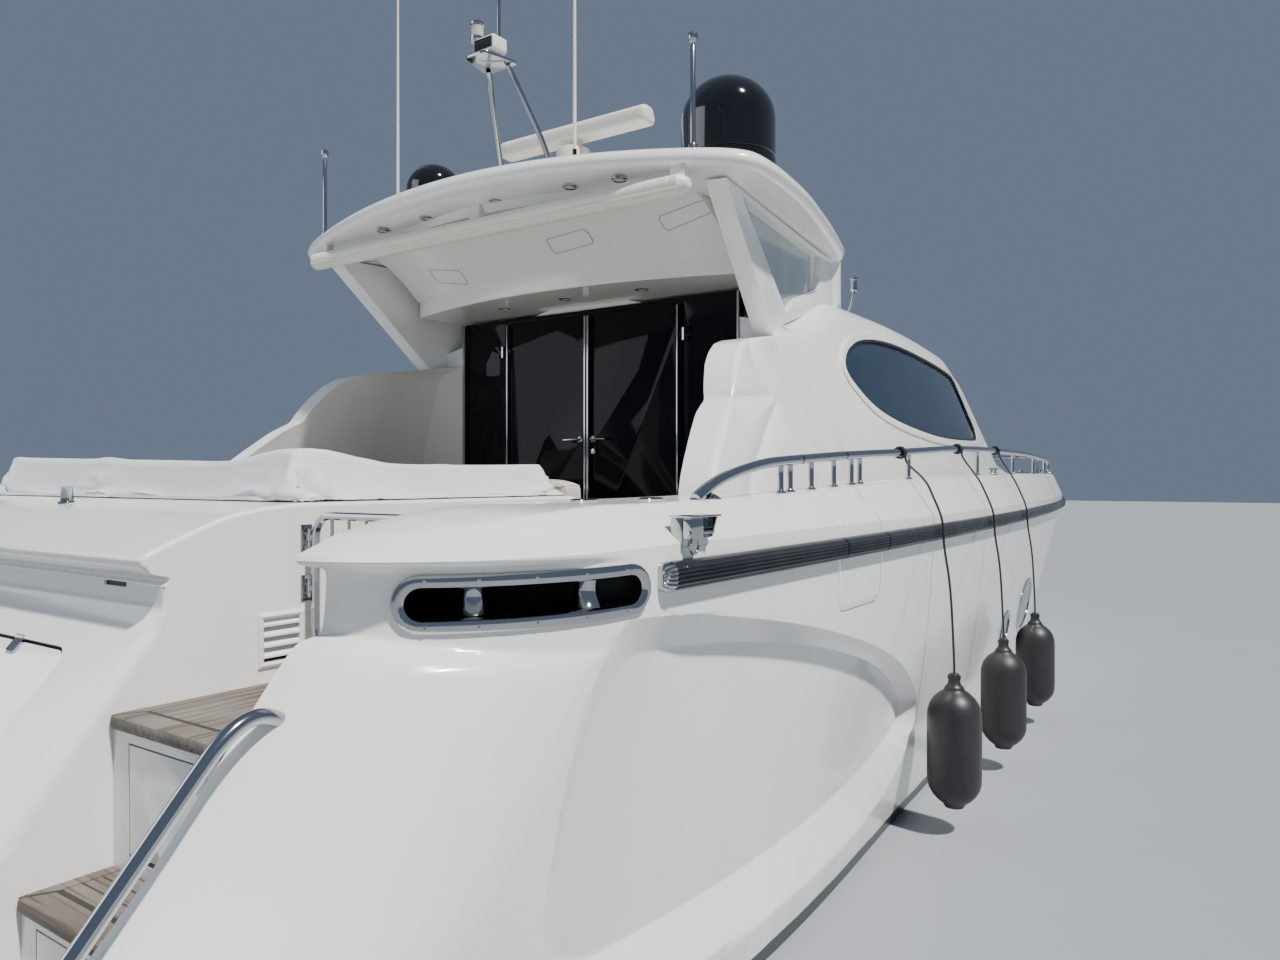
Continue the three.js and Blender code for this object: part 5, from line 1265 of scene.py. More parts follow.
# Deckhouse sections. Columns: y, foot half-breadth, belt half-breadth, belt z,
# shoulder half-breadth, shoulder z, roof z
HOUSE = [
    (-5.7, 2.04, 1.975, 2.0, 1.64, 2.78, 3.24),
    (-4.8, 1.96, 1.87, 2.1, 1.64, 2.84, 3.26),
    (-3.9, 1.89, 1.8, 2.2, 1.61, 2.88, 3.29),
    (-2.8, 1.84, 1.76, 2.3, 1.49, 3.18, 3.33),
    (-1.0, 1.74, 1.64, 2.35, 1.35, 3.22, 3.37),
    (0.4, 1.6, 1.5, 2.38, 1.2, 3.215, 3.35),
    (1.3, 1.5, 1.38, 2.36, 1.08, 3.11, 3.25),
    (3.6, 1.18, 1.09, 2.0, 0.93, 2.22, 2.29),
    (5.2, 0.92, 0.85, 1.96, 0.74, 2.05, 2.11),
    (6.1, 0.64, 0.6, 1.92, 0.5, 1.965, 1.99),
]
house_at = smooth_table(HOUSE)
HOUSE_FOOT = 1.25
HOUSE_PROFILE = [(-5.56, 1.2), (-5.55, 1.92), (-5.5, 2.0), (-5.42, 2.085), (-5.302, 2.186), (-5.146, 2.311),
    (-5.06, 2.362), (-5.0, 2.39), (-4.978, 2.44), (-4.934, 2.507), (-4.87, 2.59), (-4.79, 2.662),
    (-4.7, 2.718), (-4.6, 2.748), (-4.3, 2.8), (-3.862, 2.865), (-3.862, 3.6), (6.3, 3.6), (6.3, 1.2)]
HOUSE_EDGE = softened(HOUSE_PROFILE, 0.025, 2)
EYE = [
    (-3.19, 2.76), (-3.06, 2.87), (-2.68, 2.99), (-1.94, 3.066), (-1.0, 3.07), (0.6, 3.05), (0.8, 2.99),
    (1.01, 2.56), (0.96, 2.42), (0.74, 2.38), (-0.85, 2.34), (-1.75, 2.37), (-2.46, 2.427), (-2.87, 2.508),
    (-3.104, 2.628), (-3.19, 2.7),
]
SCREEN = SimpleNamespace(aft=1.42, fwd=3.42, half_aft=0.96, half_fwd=0.85)
WALL = 0.07


def house_ring(y, inset):
    foot, belt, belt_z, shoulder, shoulder_z, roof_z = house_at(y)
    half = [(foot - inset, HOUSE_FOOT), (belt - inset, belt_z), (shoulder - inset, shoulder_z - inset
        * 0.6), (shoulder - 0.16 - inset * 0.3, shoulder_z + 0.075 - inset), (0.0, roof_z - inset)]
    half = softened(half, 0.16, 5)
    return [Vector((p[0], y, p[1])) for p in half] + [Vector((-p[0], y, p[1])) for p in reversed(half[:-1])]


def house_solid(name, inset, start=-5.7, end=6.1):
    return skin(name, [house_ring(y, inset) for y in spread(start, end, int((end - start) / 0.13) + 2)])


def eye_outline(grow=0.0):
    loop = rounded_loop(EYE, 2)
    middle = np.array((-1.1, 2.7))
    out = []
    for a, p, b in zip(np.roll(loop, 1, 0), loop, np.roll(loop, -1, 0)):
        tangent = b - a
        normal = np.array((tangent[1], -tangent[0]))
        normal /= np.linalg.norm(normal)
        if normal @ (p - middle) < 0:
            normal = -normal
        out.append(tuple(p + normal * grow))
    return out


def eye_solid(name, side, grow, inner=0.9, outer=2.1):
    x0, x1 = sorted((side * inner, side * outer))
    return prism(name, eye_outline(grow), "X", x0, x1)


def screen_solid(name, shrink, low=1.95, high=3.6):
    """The windscreen's outline seen from above, pushed through the roof."""
    outline = [(-SCREEN.half_aft + shrink, SCREEN.aft + shrink), (SCREEN.half_aft - shrink,
        SCREEN.aft + shrink), (SCREEN.half_fwd - shrink, SCREEN.fwd - shrink), (-SCREEN.half_fwd + shrink,
        SCREEN.fwd - shrink)]
    return prism(name, soft_loop(outline, 0.09, 4), "Z", low, high)


def make_deckhouse():
    house = house_solid("deckhouse_shell", 0)
    combine(house, [prism("profile", [tuple(p) for p in HOUSE_EDGE], "X", -2.6, 2.6)], "INTERSECT")
    cutters = [house_solid("inside", WALL, BULKHEAD_Y + 0.042, 3.7), house_solid("between_wings", 2 * WALL,
        -5.75, BULKHEAD_Y - 0.042), block("doorway", (-1.215, -3.92, 1.2), (1.215, -3.72, 3.185)),
        screen_solid("screen_hole", 0)]
    for side in SIDES.values():
        cutters.append(eye_solid("eye_hole", side, 0))
    combine(house, cutters)
    dress(house, GELCOAT, ["deckhouse"], angle=40)
    for name, side in SIDES.items():
        pane = house_solid("pane", 0.014, -3.5, 1.4)
        combine(pane, [house_solid("pane_inside", 0.026, -3.6, 1.5)])
        combine(pane, [eye_solid("pane_edge", side, -0.0005)], "INTERSECT")
        pane.name = f"side_glass_{name}"
        dress(pane, BLUE_GLASS, [f"side_window_{name}"])
    screen = house_solid("windscreen_glass", 0.014, 1.2, 3.7)
    combine(screen, [house_solid("screen_inside", 0.026, 1.1, 3.8)])
    combine(screen, [screen_solid("screen_edge", 0.0005)], "INTERSECT")
    dress(screen, BLUE_GLASS, ["windscreen"])


make_deckhouse()


# Hardtop. Columns: y at the side, half-breadth, how far the middle bows aft
ROOF = [
    (-4.89, 1.805, 0.3), (-4.81, 1.836, 0.27), (-4.65, 1.84, 0.22), (-4.2, 1.8, 0.1), (-3.6, 1.68, 0.0),
    (-3.0, 1.53, 0.0), (-2.7, 1.44, 0.0), (-2.45, 1.27, 0.0), (-2.25, 0.96, 0.0), (-2.12, 0.5, 0.0),
]
roof_at = smooth_table(ROOF)
ROOF_EDGE_Z = 3.68
ROOF_CROWN = 0.11


def roof_share(x, y):
    """How far a place of the roof is from its middle line, 1 at the side."""
    half, bow = roof_at(y)
    k = max(-1.0, min(1.0, x / max(half, 0.05)))
    half, _ = roof_at(y + bow * (1 - k * k))
    return max(-1.0, min(1.0, x / max(half, 0.05)))


def roof_top(x, y):
    """Height of the roof's top face."""
    return ROOF_EDGE_Z + ROOF_CROWN * (1 - roof_share(x, y) ** 2)


def roof_outline():
    """The roof's edge seen from above, with rounded corners, evenly spaced."""
    half, bow = roof_at(ROOF[0][0])
    edge = [(half * k, ROOF[0][0] - bow * (1 - k * k)) for k in spread(-0.97, 0.97, 40)]
    edge += [(float(roof_at(y)[0]), y) for y in spread(-4.83, ROOF[-1][0] - 0.01, 60)]
    last = float(roof_at(ROOF[-1][0] - 0.01)[0])
    edge += [(last * k, ROOF[-1][0] + 0.02 * (1 - k * k)) for k in spread(0.9, -0.9, 12)]
    edge += [(-x, y) for x, y in reversed(edge[40:100])]
    loop = np.array(edge)
    for _ in range(3):
        loop = 0.5 * loop + 0.25 * (np.roll(loop, 1, 0) + np.roll(loop, -1, 0))
    step = np.linalg.norm(np.roll(loop, -1, 0) - loop, axis=1)
    along = np.concatenate(([0], np.cumsum(step)))
    closed = np.vstack((loop, loop[:1]))
    wanted = np.linspace(0, along[-1], 241)[:-1]
    return np.column_stack([np.interp(wanted, along, closed[:, i]) for i in (0, 1)])


def drawn_in(loop, amount):
    tangent = np.roll(loop, -1, 0) - np.roll(loop, 1, 0)
    normal = np.column_stack((-tangent[:, 1], tangent[:, 0]))
    normal /= np.linalg.norm(normal, axis=1)[:, None]
    return loop + normal * amount


# Brim of the roof. Columns: distance in from the edge, distance below the top
BRIM_SECTION = [(0.15, 0.0), (0.11, 0.001), (0.075, 0.005), (0.046, 0.013), (0.024, 0.025), (0.009, 0.041),
    (0.001, 0.06), (0.002, 0.078), (0.01, 0.093), (0.024, 0.105), (0.04, 0.111), (0.06, 0.113),
    (0.1, 0.115), (0.16, 0.128), (0.24, 0.14)]


def roof_shell():
    loop = roof_outline()
    middle = np.array((0.0, -3.55))
    scales = (0.03, 0.2, 0.4, 0.6, 0.8, 0.92)

    def flat_ring(scale, inset, drop, hollow):
        ring = middle + (drawn_in(loop, inset) - middle) * scale
        return [(x, y, roof_top(x, y) - drop - hollow * (1 - scale) * (1 - roof_share(x, y) ** 2))
            for x, y in ring]
    rows = [flat_ring(scale, *BRIM_SECTION[0], 0.0) for scale in scales]
    for inset, drop in BRIM_SECTION:
        rows.append([(x, y, roof_top(x, y) - drop) for x, y in drawn_in(loop, inset)])
    rows += [flat_ring(scale, *BRIM_SECTION[-1], 0.055) for scale in reversed(scales)]
    return skin("hardtop_shell", rows)


ARCH = SimpleNamespace(half=1.35, aft=-4.42, bow=0.24, fwd=-2.35, foot=3.21, head=3.325)


def arch_line(grow=0.0):
    half = ARCH.half
    return [(-half + 2 * half * t, ARCH.aft - grow + ARCH.bow * (1 - 4 * t * (1 - t))) for t in spread(0, 1,
        33)]


def make_hardtop():
    top = roof_shell()
    front = softened([(ARCH.half, -4.3), (ARCH.half, ARCH.fwd), (-ARCH.half, ARCH.fwd), (-ARCH.half, -4.3)],
        0.28, 5)[1:-1]
    house = prism("arch", arch_line() + [tuple(p) for p in front], "Z", ARCH.foot, 3.6)
    chamfered(house, 0.01, 3)
    rows = [[(x, y, z) for x, y in arch_line(-0.1)] for z in (3.66, ARCH.head)]
    for share in spread(0, 1, 13):
        z = ARCH.head + 0.27 * (1 - (1 - share) ** 1.7)
        rows.append([(x, y, z) for x, y in arch_line(0.016 + 0.5 * share)])
    rows.append([(x, y, 3.66) for x, y in arch_line(0.53)])
    combine(top, [house, skin("cove", list(zip(*rows)))], "UNION")
    dress(top, GELCOAT, ["hardtop"], angle=30)
    modify(top, "WEIGHTED_NORMAL", keep_sharp=True, weight=80)
    top.name = "hardtop_fine"
    for name, side in SIDES.items():
        post = spun("stub", (side * 1.51, -4.91, 3.672), [(34, 0), (34, 10), (24, 14), (24, 50), (21.5, 54),
            (15, 56), (14.5, 560), (12.5, 563), (12.5, 575), (21, 584), (25.5, 598), (26.5, 610),
            (23.5, 625), (15, 633), (0, 635)], 28)
        bright(f"stub_pole_{name}", [post])
    seams = []
    for x, y in ((0.42, -4.57), (-0.76, -4.45), (1.2, -4.49)):
        line = []
        for u, v in rounded_outline(x - 0.155, x + 0.155, y - 0.048, y + 0.048, 0.025):
            found, hit, _, _ = top.ray_cast(Vector((u, v, 3.0)), Vector((0, 0, 1)))
            if found:
                line.append(tuple(hit))
        if len(line) > 20:
            seams.append(ring_tube("panel_seam", line, 0.0035, 8))
    dress(joined("soffit_panel_seams", seams), SEAM_FILLER)
    lights = [(x, -4.945, roof_top(x, -4.975) - 0.139) for x in (-0.851, -0.44, 0.163, 0.726, 1.067)]
    lights += [(x, y, ARCH.foot + 0.0005) for x, y in ((-0.55, -4.11), (0.032, -4.14), (0.637, -4.11))]
    bowls = [turned("light_rim", (x, y, z + 0.004), [(0.03, 0), (0.045, 0), (0.045, 0.006), (0.038, 0.01),
        (0.031, 0.007), (0.03, 0.0)], 28, (0, 0, -1)) for x, y, z in lights]
    bright("downlights", bowls)
    lenses = [spun("lens", (x, y, z + 0.003), [(31, 0), (29, 4), (0, 6)], 24, (0, 0, -1))
        for x, y, z in lights]
    dress(joined("downlight_lenses", lenses), LAMP)


make_hardtop()


# Awning: a round cassette on three brackets, with two thin bars along it
AWNING = SimpleNamespace(half=1.536, y=-4.985, z=3.5, r=0.057)


def make_awning():
    half, radius = AWNING.half, AWNING.r
    end = [(0.0, 0), (0.02, 0.0), (0.03, 0.006), (0.05, 0.04), (radius, 0.046), (radius, 0.1),
        (radius - 0.002, 0.102), (radius - 0.002, 0.104), (radius, 0.106)]
    profile = end + [(r, 2 * half - h) for r, h in reversed(end)]
    parts = [turned("awning_tube", (-half, AWNING.y, AWNING.z), profile, 48, (1, 0, 0))]
    for degrees in (205, 222):
        turn = radians(degrees)
        y, z = AWNING.y + radius * cos(turn), AWNING.z + radius * sin(turn)
        parts.append(rod("front_bar", [(-half + 0.05, y, z), (half - 0.05, y, z)], 0.006, 12))
    for x in (-1.45, 0.0, 1.45):
        parts.append(block("bracket", (x - 0.045, AWNING.y + 0.015, AWNING.z + 0.035),
            (x + 0.045, AWNING.y + 0.075, 3.665), 0.01, 3))
    dress(joined("awning_cassette_fine", parts), CREAM, ["awning_cassette"], angle=40)


make_awning()


# Round aerial housings, radar, mast and whips
def dome(name, x, y, foot, radius, height):
    """A capsule with straight sides, a shallow seam and a plinth."""
    profile = [(0.0, 0), (radius * 0.62, 0), (radius * 0.62, 0.03), (radius * 0.9, 0.055),
        (radius * 0.975, 0.085), (radius, 0.12), (radius, 0.15), (radius - 0.004, 0.153),
        (radius - 0.004, 0.157), (radius, 0.16)]
    shoulder = height - radius * 0.93
    for i in range(13):
        turn = pi / 2 * i / 12
        profile.append((radius * cos(turn), shoulder + radius * 0.93 * sin(turn)))
    dress(turned(f"{name}_fine", (x, y, foot), profile, 56), BLACK_GLOSS, [name], angle=40)


def make_roof_gear():
    low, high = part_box("satellite_dome")
    dome("satellite_dome", 1.34, -4.23, low[2] + 0.006, 0.277, high[2] - low[2] - 0.008)
    low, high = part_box("tv_dome")
    dome("tv_dome", -1.01, -4.35, low[2] + 0.006, 0.199, high[2] - low[2] - 0.008)
    low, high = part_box("radar_pedestal")
    mount = turned("radar_mount", (-0.045, -3.95, low[2] + 0.002), [(0.0, 0), (0.16, 0), (0.168, 0.012),
        (0.155, 0.03), (0.095, 0.09), (0.07, 0.16), (0.07, 0.3), (0.085, 0.335), (0.118, 0.35),
        (0.122, 0.372), (0.122, 0.47), (0.113, 0.495), (0.085, 0.51), (0.06, 0.515),
        (0.06, high[2] - low[2] - 0.003), (0.0, high[2] - low[2] - 0.003)], 44)
    cable = pipe("radar_cable", [(0.055, -3.865, low[2] + 0.33), (0.09, -3.845, low[2] + 0.3),
        (0.105, -3.835, low[2] + 0.18), (0.108, -3.835, low[2] + 0.01)], 0.01, 12)
    dress(joined("radar_pedestal_fine", [mount, cable]), CREAM, ["radar_pedestal"], angle=40)
    low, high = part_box("radar_array")
    middle = (low[2] + high[2]) / 2
    end = [(0.0, 0.55), (0.004, 0.78), (0.012, 0.93), (0.028, 1.0), (0.085, 1.0), (0.087, 0.965),
        (0.091, 0.965), (0.093, 1.0)]
    rows = [(low[0] + t, size) for t, size in end] + [(high[0] - t, size) for t, size in reversed(end)]
    section = soft_loop([(-0.078, -0.052), (0.05, -0.06), (0.076, -0.03), (0.04, 0.058), (-0.05, 0.062),
        (-0.08, 0.03)], 0.03, 4)
    bar = skin("radar_bar", [[(x, -3.95 + u * size, middle + v * size) for u, v in section]
        for x, size in rows])
    hub = spun("radar_hub", (-0.045, -3.95, low[2] + 0.001), [(58, 0), (58, 12), (50, 30), (0, 31)], 32)
    dress(joined("radar_array_fine", [bar, hub]), CREAM, ["radar_array"], "radar", angle=40)


make_roof_gear()


MAST = SimpleNamespace(x=0.025, foot=-4.45, z=4.55, foot_z=3.74, spread=0.225)


def lantern(at, height):
    """A clear lens between two bright caps."""
    x, y, z = at
    caps = turned("lantern_caps", (x, y, z), [(0.0, 0), (0.04, 0), (0.043, 0.004), (0.043, 0.026),
        (0.03, 0.03), (0.03, height - 0.03), (0.043, height - 0.026), (0.043, height - 0.014),
        (0.03, height - 0.003), (0.0, height)], 32)
    lens = turned("lantern_lens", (x, y, z + 0.03), [(0.0, 0), (0.037, 0), (0.038, 0.01),
        (0.038, height - 0.07), (0.037, height - 0.06), (0.0, height - 0.06)], 32)
    return caps, lens


def make_mast():
    parts = []
    x, foot_z = MAST.x, MAST.foot_z
    leg = [(MAST.spread, MAST.foot, foot_z + 0.012), (0.215, -4.5, 3.9), (0.19, -4.57, 4.09),
        (0.118, -4.725, 4.4), (0.088, -4.76, 4.5), (0.08, -4.79, 4.532)]
    for side in (-1, 1):
        line = [(x + side * out, y, z) for out, y, z in leg]
        parts.append(pipe("mast_leg", line, 0.0185, 20))
        parts.append(spun("mast_shoe", (x + side * (MAST.spread - 0.003), MAST.foot, foot_z + 0.004),
            [(44, 0), (44, 8), (34, 14), (27, 18), (25, 55), (0, 58)], 28))
    rim = soft_loop([(-0.115, -4.745), (0.165, -4.745), (0.11, -4.995), (-0.06, -4.995)], 0.045, 5)
    parts.append(chamfered(prism("mast_plate", rim, "Z", MAST.z - 0.012, MAST.z + 0.006), 0.004))
    parts.append(rod("mast_pole", [(x, -4.78, MAST.z), (x, -4.78, MAST.z + 0.935)], 0.0125, 16))
    parts.append(spun("pole_foot", (x, -4.78, MAST.z + 0.004), [(32, 0), (32, 6), (18, 12), (17, 60),
        (0, 62)], 24))
    parts.append(rod("lamp_post", [(-0.04, -4.9, MAST.z + 0.004), (-0.04, -4.9, MAST.z + 0.13)], 0.01, 12))
    top, top_lens = lantern((x, -4.78, MAST.z + 0.93), 0.12)
    low, low_lens = lantern((-0.04, -4.9, MAST.z + 0.12), 0.128)
    bright("mast_fine", parts + [top, low], ["mast"], angle=40)
    dress(joined("mast_lenses", [top_lens, low_lens]), LAMP)
    box = block("searchlight", (-0.045, -4.935, MAST.z + 0.03), (0.13, -4.81, MAST.z + 0.125), 0.018, 4)
    bracket = block("searchlight_foot", (0.01, -4.895, MAST.z + 0.004), (0.075, -4.845, MAST.z + 0.034),
        0.006, 2)
    dress(joined("searchlight", [box, bracket]), CREAM)
    dress(block("searchlight_face", (-0.03, -4.939, MAST.z + 0.044), (0.115, -4.93, MAST.z + 0.111), 0.004,
        2), DARK)
    rim = soft_loop([(-0.3, -4.56), (0.35, -4.56), (0.35, -4.34), (-0.3, -4.34)], 0.04, 4)
    dress(chamfered(prism("mast_pad", rim, "Z", 3.765, 3.798), 0.006), BLACK_GLOSS)
    horn = spun("horn", (0.045, -4.46, 3.845), [(24, 0), (28, 10), (18, 30), (14, 120), (22, 190),
        (45, 225), (47, 230), (30, 222), (0, 190)], 28, (0.25, -1, 0.05))
    legs = block("horn_foot", (0.035, -4.52, 3.79), (0.062, -4.48, 3.845), 0.004, 2)
    dress(joined("horn", [horn, legs]), CREAM)
    for name, (wx, wy) in {"port": (-1.4, -4.35), "centre": (0.45, -4.56)}.items():
        low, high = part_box(f"whip_aerial_{name}")
        foot = low[2] + 0.004
        long = high[2] - foot
        whip = turned(f"whip_aerial_{name}_fine", (wx, wy, foot + 0.1), [(0.0, 0), (0.0125, 0),
            (0.0125, 0.03), (0.0115, 0.06), (0.0105, 0.6), (0.0085, 1.3), (0.0055, long - 0.115),
            (0.004, long - 0.102), (0.0, long - 0.1)], 20)
        base = spun(f"whip_base_{name}", (wx, wy, foot), [(34, 0), (34, 10), (24, 20), (20, 50), (20, 155),
            (16, 185), (13.5, 200), (13.5, 230), (0, 232)], 28)
        dress(base, BLACK_GLOSS)
        dress(whip, CREAM, [f"whip_aerial_{name}"])


make_mast()


# Doors: bright stiles, handles and hinge leaves
def make_door_gear():
    for name, side in SIDES.items():
        low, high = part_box(f"saloon_door_{name}")
        inner, outer = sorted((abs(low[0]), abs(high[0])))
        face = -3.862
        parts = [side_block(part, side, x0, x1, face - proud, face + 0.012, 1.352, top, bevel)
            for part, x0, x1, proud, top, bevel in (("meeting_stile", inner + 0.001, inner + 0.017, 0.01,
            3.14, 0.002), ("hinge_stile", outer - 0.04, outer - 0.029, 0.006, 3.14, 0.001),
            ("bottom_rail", inner + 0.016, outer - 0.029, 0.003, 1.392, 0.002))]
        lever = [(0.06, 0.008, 2.27), (0.06, 0.03, 2.27), (0.062, 0.033, 2.27), (0.08, 0.033, 2.27),
            (0.185, 0.031, 2.268)]
        parts.append(pipe("lever", [(side * x, face - out, z) for x, out, z in lever], 0.0085, 14))
        parts.append(spun("rose", (side * 0.06, face - 0.001, 2.27), [(26, 0), (26, 4), (20, 8), (13, 11),
            (0, 12)], 28, (0, -1, 0)))
        if side > 0:
            parts.append(spun("lock", (0.06, face - 0.001, 2.185), [(21, 0), (21, 5), (15, 8)], 24,
                (0, -1, 0)))
        bright(f"door_gear_{name}", parts, body=f"door_{name}")
        leaves = [side_block("leaf", side, 0.792, 0.806, -3.868, -3.864, z + 0.002, z + 0.086, 0.0012, 1)
            for z in (1.56, 2.9)]
        bright(f"door_frame_leaves_{name}", leaves)
        stile = side_block(f"frame_stiles_{name}", side, 1.2, 1.214, -3.872, -3.864, 1.345, 3.18, 0.001)
        dress(stile, DULL_STEEL)


make_door_gear()


# Wings of the deckhouse: soft pads between creases, out to the scalloped edge
CREASES = [[(-4.603, 2.739), (-4.63, 2.663), (-4.608, 2.602), (-4.553, 2.526), (-4.49, 2.446),
    (-4.414, 2.396), (-4.294, 2.321), (-4.168, 2.228), (-4.04, 2.161), (-3.9, 2.095)], [(-5.003, 2.392),
    (-4.776, 2.415), (-4.49, 2.446)], [(-4.44, 2.422), (-4.53, 2.366), (-4.678, 2.27), (-4.804, 2.17),
    (-4.896, 2.102), (-5.025, 1.995), (-5.066, 1.9)]]
WING = SimpleNamespace(aft=-5.545, fwd=-3.56, low=1.82, proud=0.027, round=0.06, edge=0.03)


def crease_distance(y, z):
    place = np.array((y, z))
    nearest = 9.0
    for crease in CREASES:
        for a, b in zip(crease, crease[1:]):
            start, way = np.array(a), np.array(b) - np.array(a)
            along = min(1.0, max(0.0, float((place - start) @ way / (way @ way))))
            nearest = min(nearest, float(np.linalg.norm(place - start - way * along)))
    return nearest


def wing_lift(y, z, top):
    """How far the pads stand off the plain side, fading out forward of the long crease."""
    near = crease_distance(y, z)
    lift = WING.proud * (1 - exp(-near / WING.round)) + 0.002
    long_crease = CREASES[0][::-1]
    if y > float(np.interp(z, [p[1] for p in long_crease], [p[0] for p in long_crease])):
        fade = smooth_step(1 - (near - 0.05) / 0.42)
        lift = lift * fade - 0.003 * (1 - fade)
    rim = min(1.0, max(0.0, (top - z) * 0.75 / WING.edge))
    return min(lift, 0.001 + lift * sqrt(1 - (1 - rim) ** 2))


def make_wings():
    edge = [p for p in HOUSE_EDGE if p[0] < -3.87 and p[1] > 1.5]
    columns = []
    for y in spread(WING.aft, WING.fwd, 158):
        top = min(2.84, float(np.interp(y, [p[0] for p in edge], [p[1] for p in edge]))) - 0.001
        ring = [p for p in house_ring(y, 0) if p.x > 1.0]
        levels = spread(WING.low, top, 80)
        breadth = np.interp(levels, [p.z for p in ring], [p.x for p in ring])
        row = [(float(x) + wing_lift(y, z, top), y, z) for x, z in zip(breadth, levels)]
        columns.append(row + [(float(breadth[-1]) - 0.02, y, top), (float(breadth[0]) - 0.02, y, WING.low)])
    for name, side in SIDES.items():
        wing = skin(f"wing_pads_{name}", [[(side * x, y, z) for x, y, z in row] for row in columns])
        dress(wing, GELCOAT, angle=60)
        rim = house_solid("window_surround", -0.01, -3.6, 1.4)
        combine(rim, [eye_solid("rim_edge", side, 0.06)], "INTERSECT")
        combine(rim, [eye_solid("rim_hole", side, 0.006), house_solid("rim_inside", 0.008, -3.7, 1.5)])
        chamfered(rim, 0.007, 3)
        rim.name = f"window_surround_{name}"
        dress(rim, GELCOAT, angle=40)
        seal = house_solid("seal", -0.004, -3.5, 1.4)
        combine(seal, [eye_solid("seal_edge", side, 0.0055)], "INTERSECT")
        combine(seal, [eye_solid("seal_hole", side, -0.012), house_solid("seal_inside", 0.012, -3.6, 1.5)])
        seal.name = f"window_seal_{name}"
        dress(seal, RUBBER, angle=40)


make_wings()


# Grey panes in the side screens, a little proud of them
PANE_OUTLINE = [(-4.56, 3.53), (-3.78, 3.02), (-3.5, 3.17), (-3.08, 3.29), (-3.0, 3.53)]


def make_screen_panes():
    for name, side in SIDES.items():
        pane = refined(f"side_screen_{name}", 0)
        x0, x1 = sorted((side * 1.0, side * 2.0))
        outline = soft_loop([(y * 0.985 - 0.055, z * 0.97 + 0.095) for y, z in PANE_OUTLINE], 0.03, 3)
        combine(pane, [prism("pane_edge", outline, "X", x0, x1)], "INTERSECT")
        for vertex in pane.data.vertices:
            vertex.co.x += side * 0.004
        pane.name = f"screen_pane_{name}"
        dress(pane, GREY_PANE)


make_screen_panes()


# Fenders on their lanyards
FENDERS = [-3.7, -2.35, -0.95]
FENDER_FOOT = 0.14
# How a lanyard runs over the rub rail and the bulwark. Columns: distance out from the side, z
LANYARD = [(0.06, 1.6), (0.056, 1.69), (0.05, 1.76), (0.03, 1.82), (-0.005, 1.9), (-0.045, 1.99)]


def make_fenders():
    for i, y in enumerate(FENDERS):
        edge = side_x(y, RAIL_Z)
        x = edge + 0.116
        body = spun("fender", (x, y, FENDER_FOOT), [(0, 0), (30, 2), (52, 8), (58, 18), (64, 30), (92, 50),
            (118, 78), (138, 112), (147, 150), (148.5, 200), (148.5, 500), (146, 545), (134, 588),
            (112, 622), (84, 648), (62, 662), (54, 672), (53.5, 680), (47, 688), (36, 700), (31, 730),
            (30, 750), (24, 759), (0, 762)], 44)
        rib = spun("fender_seam", (x, y, FENDER_FOOT + 0.345), [(148.6, 0), (149.6, 2), (149.6, 4),
            (148.6, 6)], 44)
        eye = turned("fender_eye", (x - 0.034, y, FENDER_FOOT + 0.738), [(0.009, 0), (0.013, 0),
            (0.013, 0.068), (0.009, 0.068), (0.009, 0)], 16, (1, 0, 0))
        dress(joined(f"fender_{i + 1}_fine", [body, rib, eye]), RUBBER, [f"fender_{i + 1}"], angle=40)
        rail = rail_point(1, y)
        line = [(x, FENDER_FOOT + 0.756), (x, FENDER_FOOT + 0.8), (x - 0.006, 1.1), (x - 0.022, 1.4)]
        line += [(edge + out, z) for out, z in LANYARD]
        line += [(rail.x + 0.034, rail.z - 0.06), (rail.x + 0.031, rail.z - 0.02)]
        smooth = softened_line([Vector((across, y, z)) for across, z in line], 3)
        cord = rod(f"lanyard_{i + 1}", smooth, 0.007, 10)
        dress(cord, RUBBER, [f"fender_{i + 1}"])
        turns = [(rail.x + 0.031 * cos(a), y - 0.02 + 0.04 * a / (6 * pi), rail.z + 0.031 * sin(a))
            for a in spread(0, 6 * pi, 49)]
        hitch = rod(f"lanyard_hitch_{i + 1}", turns, 0.0072, 10)
        dress(hitch, RUBBER)


def softened_line(points, rounds):
    """Cuts the corners of a line again and again, keeping its ends."""
    for _ in range(rounds):
        cut = [points[0]]
        for a, b in zip(points, points[1:]):
            cut += [a.lerp(b, 0.25), a.lerp(b, 0.75)]
        points = cut + [points[-1]]
    return points


make_fenders()


# Dark gaskets round the locker doors
def make_gaskets():
    for name, side in SIDES.items():
        for level, locker in LOCKERS.items():
            x0, x1 = sorted((side * (LOCKER_IN - 0.0055), side * (LOCKER_OUT + 0.0055)))
            low, high = locker["bottom"] - 0.0135, locker["top"] + 0.0055
            y = locker["y"] + 0.004
            outer = rounded_outline(x0, x1, low, high, 0.018)
            inner = rounded_outline(x0 + 0.007, x1 - 0.007, low + 0.013, high - 0.007, 0.012)
            rows = [[(x, deep, z) for x, z in loop] for deep, loop in ((y + 0.02, outer), (y, outer),
                (y, inner), (y + 0.02, inner))]
            dress(hoop(f"locker_gasket_{level}_{name}", rows), RUBBER)


make_gaskets()


# Ports in the topsides: a polished oval rim round dark glass
PORTS = [(0.34, 0.8, 0.4, 0.215), (-0.93, 0.745, 0.19, 0.12)]


